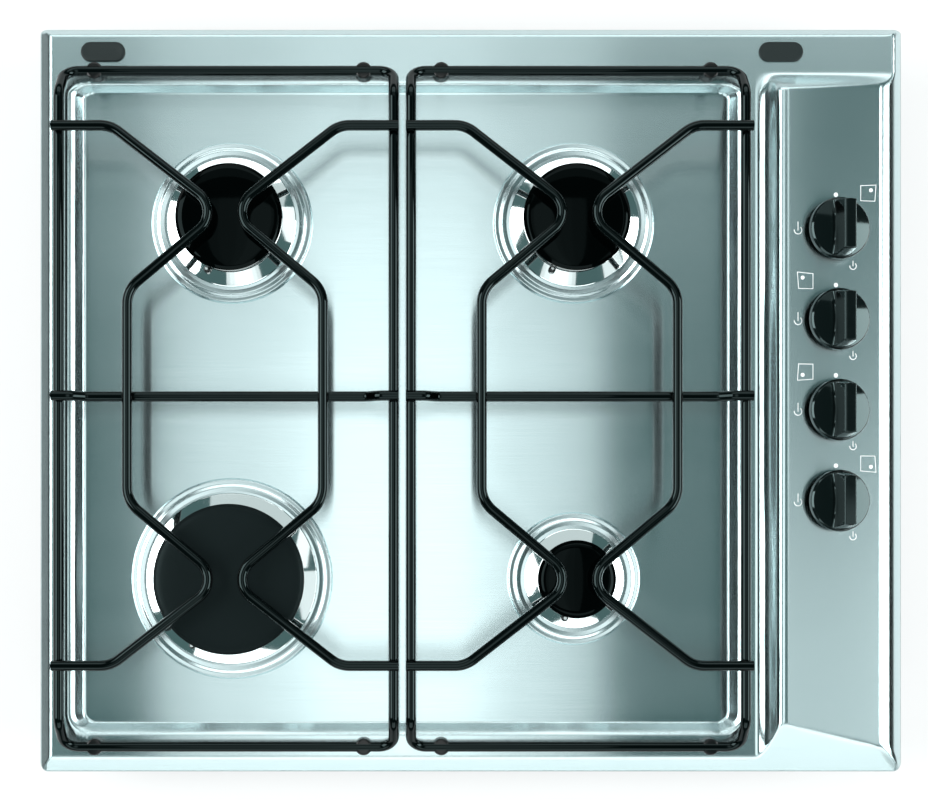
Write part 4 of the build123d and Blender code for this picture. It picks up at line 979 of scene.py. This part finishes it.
# -------- knobs
# Moulded in gloss black thermoset and pushed onto the tap's spindle: a round skirt, slightly domed,
# a narrow grip across it that points to the rear when the tap is off, and a hollow underside.
KNOBS = ("rear_right", "rear_left", "front_left", "front_right")
KNOB_X = 242.0
KNOB_REAR_Y = 112.0
KNOB_PITCH = 60.0
KNOB_GAP = 3.8                  # between the panel and the skirt
KNOB_RADIUS = 20.4
KNOB_HEIGHT = 19.4
SKIRT_HEIGHT = 5.0
SKIRT_BEVEL = 1.2
SKIRT_CROWN = 2.6               # the domed skirt falls by this much from its middle to its rim
SKIRT_WALL = 2.2
SKIRT_SPOKES = 112
KNOB_BLEND = 0.5
GRIP_HALF = 4.1
GRIP_DRAFT = 1.1                # each flank leans out by this much
GRIP_FLANK = GRIP_HALF + GRIP_DRAFT
GRIP_FOOT = 3.0                 # roundings of the grip: hollow feet, long edges and ends
GRIP_EDGE = 0.7
GRIP_END_EDGE = 1.0
GRIP_END_LEAN = 2.8             # the grip's ends lean in by this much from foot to top
KNOB_SHARP_ANGLE = 35.0


def gloss_plastic():
    """Phenolic moulding, polished in the mould, with the finest haze of handling."""
    material = principled("gloss_black_phenolic", {
        "Base Color": linear("#050606"), "IOR": 1.62, "Specular Tint": TEAL_SHEEN})
    vary_roughness(material, noise(material, 220, 4.0), 0.05, 0.12)
    return material


GLOSS_PLASTIC = gloss_plastic()


def panel_point(number, x, y, z):
    """A point given in a knob's own frame: x down the panel's slope, y to the rear, z out of it."""
    face_z = BASE_Z + RIDGE_RISE - (KNOB_X - RIDGE_X) * tan(PANEL_TILT)
    return ((KNOB_X + x * cos(PANEL_TILT) + z * sin(PANEL_TILT)) * MM,
            (KNOB_REAR_Y - number * KNOB_PITCH + y) * MM,
            (face_z - x * sin(PANEL_TILT) + z * cos(PANEL_TILT)) * MM)


def quarter_arc(radius, offset):
    """Height of a quarter circle at an offset from its middle, and 0 beyond its end."""
    return np.sqrt(np.clip(radius ** 2 - offset ** 2, 0, None))


def knob_height(x, y):
    """Height of the knob's upper face above its foot: a crowned skirt and a grip across it."""
    across, radius = np.abs(x), np.hypot(x, y)
    edge_low = KNOB_HEIGHT - GRIP_EDGE
    foot_top = SKIRT_HEIGHT + GRIP_FOOT
    corner = edge_low + quarter_arc(GRIP_EDGE, np.clip(across - GRIP_HALF + GRIP_EDGE, 0, None))
    lean = edge_low + (across - GRIP_HALF) * (foot_top - edge_low) / GRIP_DRAFT
    hollow = foot_top - quarter_arc(GRIP_FOOT, across - GRIP_FLANK - GRIP_FOOT)
    grip = np.where(across < GRIP_HALF, corner, np.where(across < GRIP_FLANK, lean, hollow))
    grip = np.where(across > GRIP_FLANK + GRIP_FOOT, SKIRT_HEIGHT, grip)
    end = KNOB_RADIUS - SKIRT_BEVEL - GRIP_END_LEAN
    end_low = KNOB_HEIGHT - GRIP_END_EDGE
    nose = end_low + quarter_arc(GRIP_END_EDGE, np.clip(radius - end + GRIP_END_EDGE, 0, None))
    face = end_low - (radius - end) * (end_low - SKIRT_HEIGHT) / (GRIP_END_LEAN - 0.3)
    grip = np.minimum(grip, np.where(radius < end, nose, face))
    skirt = SKIRT_HEIGHT + SKIRT_CROWN * (1 - (radius / KNOB_RADIUS) ** 2)
    return blend_high(grip, skirt, KNOB_BLEND)


def knob_columns():
    """Distances from the grip's middle at which the knob's upper face is cut, out to its foot."""
    steps = list(np.linspace(0, GRIP_HALF - GRIP_EDGE, 4))
    steps += [GRIP_HALF - GRIP_EDGE * (1 - sin(radians(a))) for a in (15, 35, 55, 75, 90)]
    steps += list(np.linspace(GRIP_HALF, GRIP_FLANK, 7))[1:]
    return steps + [GRIP_FLANK + GRIP_FOOT * (1 - cos(radians(a))) for a in range(15, 91, 15)]


def knob_top(number):
    """Upper part of a knob: lengthwise stations across the disc, closed below by a flat face."""
    disc = KNOB_RADIUS - SKIRT_BEVEL
    underside = SKIRT_HEIGHT - 2.0
    grip_steps = knob_columns()
    skirt_shares = (0.1, 0.25, 0.45, 0.7, 1.0)
    rear_half = list(np.linspace(0, 14.6, 9)) + list(np.linspace(15.2, disc - 0.02, 27))
    stations = [-y for y in reversed(rear_half[1:])] + rear_half
    columns = 2 * (len(grip_steps) + len(skirt_shares)) - 1
    vertices, faces = [], []
    for on_top in (False, True):
        for y in stations:
            width = (disc ** 2 - y ** 2) ** 0.5
            squeeze = min(1.0, 0.85 * width / grip_steps[-1])
            half = [squeeze * step for step in grip_steps]
            half += [half[-1] + share * (width - half[-1]) for share in skirt_shares]
            for x in [-x for x in reversed(half[1:])] + half:
                z = float(knob_height(np.array(x), np.array(y))) if on_top else underside
                vertices.append(panel_point(number, x, y, KNOB_GAP + z))
    sheet_size = columns * len(stations)
    for quad in grid_quads(len(stations), columns):
        faces.append(tuple(sheet_size + i for i in quad))
        faces.append(tuple(reversed(quad)))
    outline = [row * columns + columns - 1 for row in range(len(stations))]
    outline += [row * columns for row in reversed(range(len(stations)))]
    for here, there in zip(outline, outline[1:] + outline[:1]):
        faces.append((here, there, sheet_size + there, sheet_size + here))
    for start in (0, sheet_size - columns):
        faces += [(i, i + 1, sheet_size + i + 1, sheet_size + i)
                  for i in range(start, start + columns - 1)]
    return vertices, faces


def knob_skirt(number):
    """Lower part of a knob: the rounded rim, its hollow underside and the hub round the spindle."""
    rim, roof = KNOB_RADIUS, SKIRT_HEIGHT - 1.7
    disc, inside = rim - SKIRT_BEVEL, rim - SKIRT_WALL
    points = [(disc - 0.3, SKIRT_HEIGHT - 1.6), (disc - 0.3, SKIRT_HEIGHT + 0.04),
              (disc, SKIRT_HEIGHT + 0.04), (rim, SKIRT_HEIGHT - SKIRT_BEVEL), (rim, 0.0),
              (rim - 2.0, 0.0), (inside, roof)]
    profile = rounded_profile(points, [0.0, 0.5, 0.9, 0.3, 0.3]) + [(inside, roof + 0.05)]
    hub = [(7.0, 0.2), (6.8, 0.0), (3.2, 0.0), (3.2, roof), (7.0, roof)]
    vertices, faces = [], []
    for section in (profile, hub):
        start, count = len(vertices), len(section)
        for spoke in range(SKIRT_SPOKES):
            angle = 2 * pi * spoke / SKIRT_SPOKES
            for radius, height in section:
                vertices.append(panel_point(number, radius * cos(angle), radius * sin(angle),
                                            KNOB_GAP + height))
            following = (spoke + 1) % SKIRT_SPOKES
            faces += band_quads(start + spoke * count, start + following * count, count)
    return vertices, faces


def knob(number, name):
    """One knob: grip and skirt as one piece."""
    top_vertices, top_faces = knob_top(number)
    skirt_vertices, skirt_faces = knob_skirt(number)
    shift = len(top_vertices)
    faces = top_faces + [tuple(shift + i for i in face) for face in skirt_faces]
    made = new_piece(name + "_moulded_knob", top_vertices + skirt_vertices, faces, GLOSS_PLASTIC,
                     KNOB_SHARP_ANGLE)
    clean_mesh(made, 2e-6, 1e-6, KNOB_SHARP_ANGLE)
    return made


for number, name in enumerate(KNOBS):
    made = knob(number, name)
    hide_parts(name + "_knob")
    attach(made, name + "_control")
finish_nodes([name + "_tap_spindle" for name in KNOBS], ZINC_STEEL)
finish_nodes([name + "_tap_cone" for name in KNOBS], BRASS)


# -------- panel prints
# Screen-printed pale marks beside each knob: a dot for off, a large and a small flame for the two
# settings, and a little plan of the hob with a dot at the burner that the knob works.
# Pale baked ink, slightly uneven where the screen laid it down.
INK = principled("screen_printed_ink", {"Roughness": 0.5})
vary_colour(INK, noise(INK, 2500), "#DDE8E8", WHITE)
INK_THICKNESS = 0.06
PRINT_LINE = 0.55
OFF_DOT = ((0.0, 23.4), 1.5)    # middle in the knob's frame, and radius
FLAMES = (((-26.4, -0.8), 2.6, 5.6), ((12.0, -23.6), 2.3, 3.4))     # middle, radius, height
FLAME_ARC = (175, 410)          # degrees
PLAN_MIDDLES = {"right": (22.4, 25.0), "left": (-21.0, 25.6)}
PLAN_HALF, PLAN_STRETCH = 5.0, 0.8      # the plan's corner at the burner is drawn out
PLAN_DOT_OFFSET, PLAN_DOT_RADIUS = 2.2, 1.3
DOT_SIDES = 24


def ink_band(number, inner, outer, ends_meet=True):
    """A band of ink between two rows of points in a knob's frame."""
    count = len(inner)
    vertices = [panel_point(number, x, y, height) for height in (0.0, INK_THICKNESS)
                for x, y in list(inner) + list(outer)]
    faces = []
    for i in range(count if ends_meet else count - 1):
        j = (i + 1) % count
        faces.append((2 * count + i, 3 * count + i, 3 * count + j, 2 * count + j))
        faces.append((j, i, 2 * count + i, 2 * count + j))
        faces.append((count + i, count + j, 3 * count + j, 3 * count + i))
    return vertices, faces


def ink_line(number, points, ends_meet=False):
    """A line of ink along points: a band with half its width to each side."""
    left, right = [], []
    count = len(points)
    for i, point in enumerate(points):
        before = points[i - 1] if (ends_meet or i > 0) else point
        after = points[(i + 1) % count] if (ends_meet or i < count - 1) else point
        incoming = (Vector(point) - Vector(before))
        outgoing = (Vector(after) - Vector(point))
        along = (incoming.normalized() + outgoing.normalized()).normalized()
        across = Vector((-along.y, along.x)) * PRINT_LINE / 2
        left.append(tuple(Vector(point) + across))
        right.append(tuple(Vector(point) - across))
    return ink_band(number, left, right, ends_meet)


def arc_points(centre, radius, first, last, steps=24):
    """Points along an arc, angles in degrees."""
    turn = [radians(first + (last - first) * i / steps) for i in range(steps + 1)]
    return [(centre[0] + radius * cos(a), centre[1] + radius * sin(a)) for a in turn]


def print_parts(number, name):
    """The marks of one knob: the plan's frame, the dots, and the flames with their stems."""
    row, hand = name.split("_")
    middle = PLAN_MIDDLES[hand]
    toward = (1 if hand == "right" else -1, 1 if row == "rear" else -1)
    plan = []
    for corner in ((-1, -1), (1, -1), (1, 1), (-1, 1)):
        size = PLAN_HALF + (PLAN_STRETCH if corner == toward else 0.0)
        plan.append((middle[0] + corner[0] * size, middle[1] + corner[1] * size))
    yield ink_line(number, plan, True)
    plan_dot = (middle[0] + toward[0] * PLAN_DOT_OFFSET, middle[1] + toward[1] * PLAN_DOT_OFFSET)
    for centre, radius in (OFF_DOT, (plan_dot, PLAN_DOT_RADIUS)):
        rim = arc_points(centre, radius, 0, 360 - 360 / DOT_SIDES, DOT_SIDES - 1)
        yield ink_band(number, [centre] * DOT_SIDES, rim)
    for centre, radius, height in FLAMES:
        yield ink_line(number, arc_points(centre, radius, *FLAME_ARC))
        yield ink_line(number, [(centre[0], centre[1] + rise)
                                for rise in (-0.2, height * 0.5, height)])


def print_marks():
    """All the marks of the four knobs as one piece."""
    vertices, faces = [], []
    for number, name in enumerate(KNOBS):
        for part_vertices, part_faces in print_parts(number, name):
            start = len(vertices)
            vertices += part_vertices
            faces += [tuple(start + i for i in face) for face in part_faces]
    return new_piece("panel_print_marks", vertices, faces, INK)


marks = print_marks()
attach(marks, "hob")
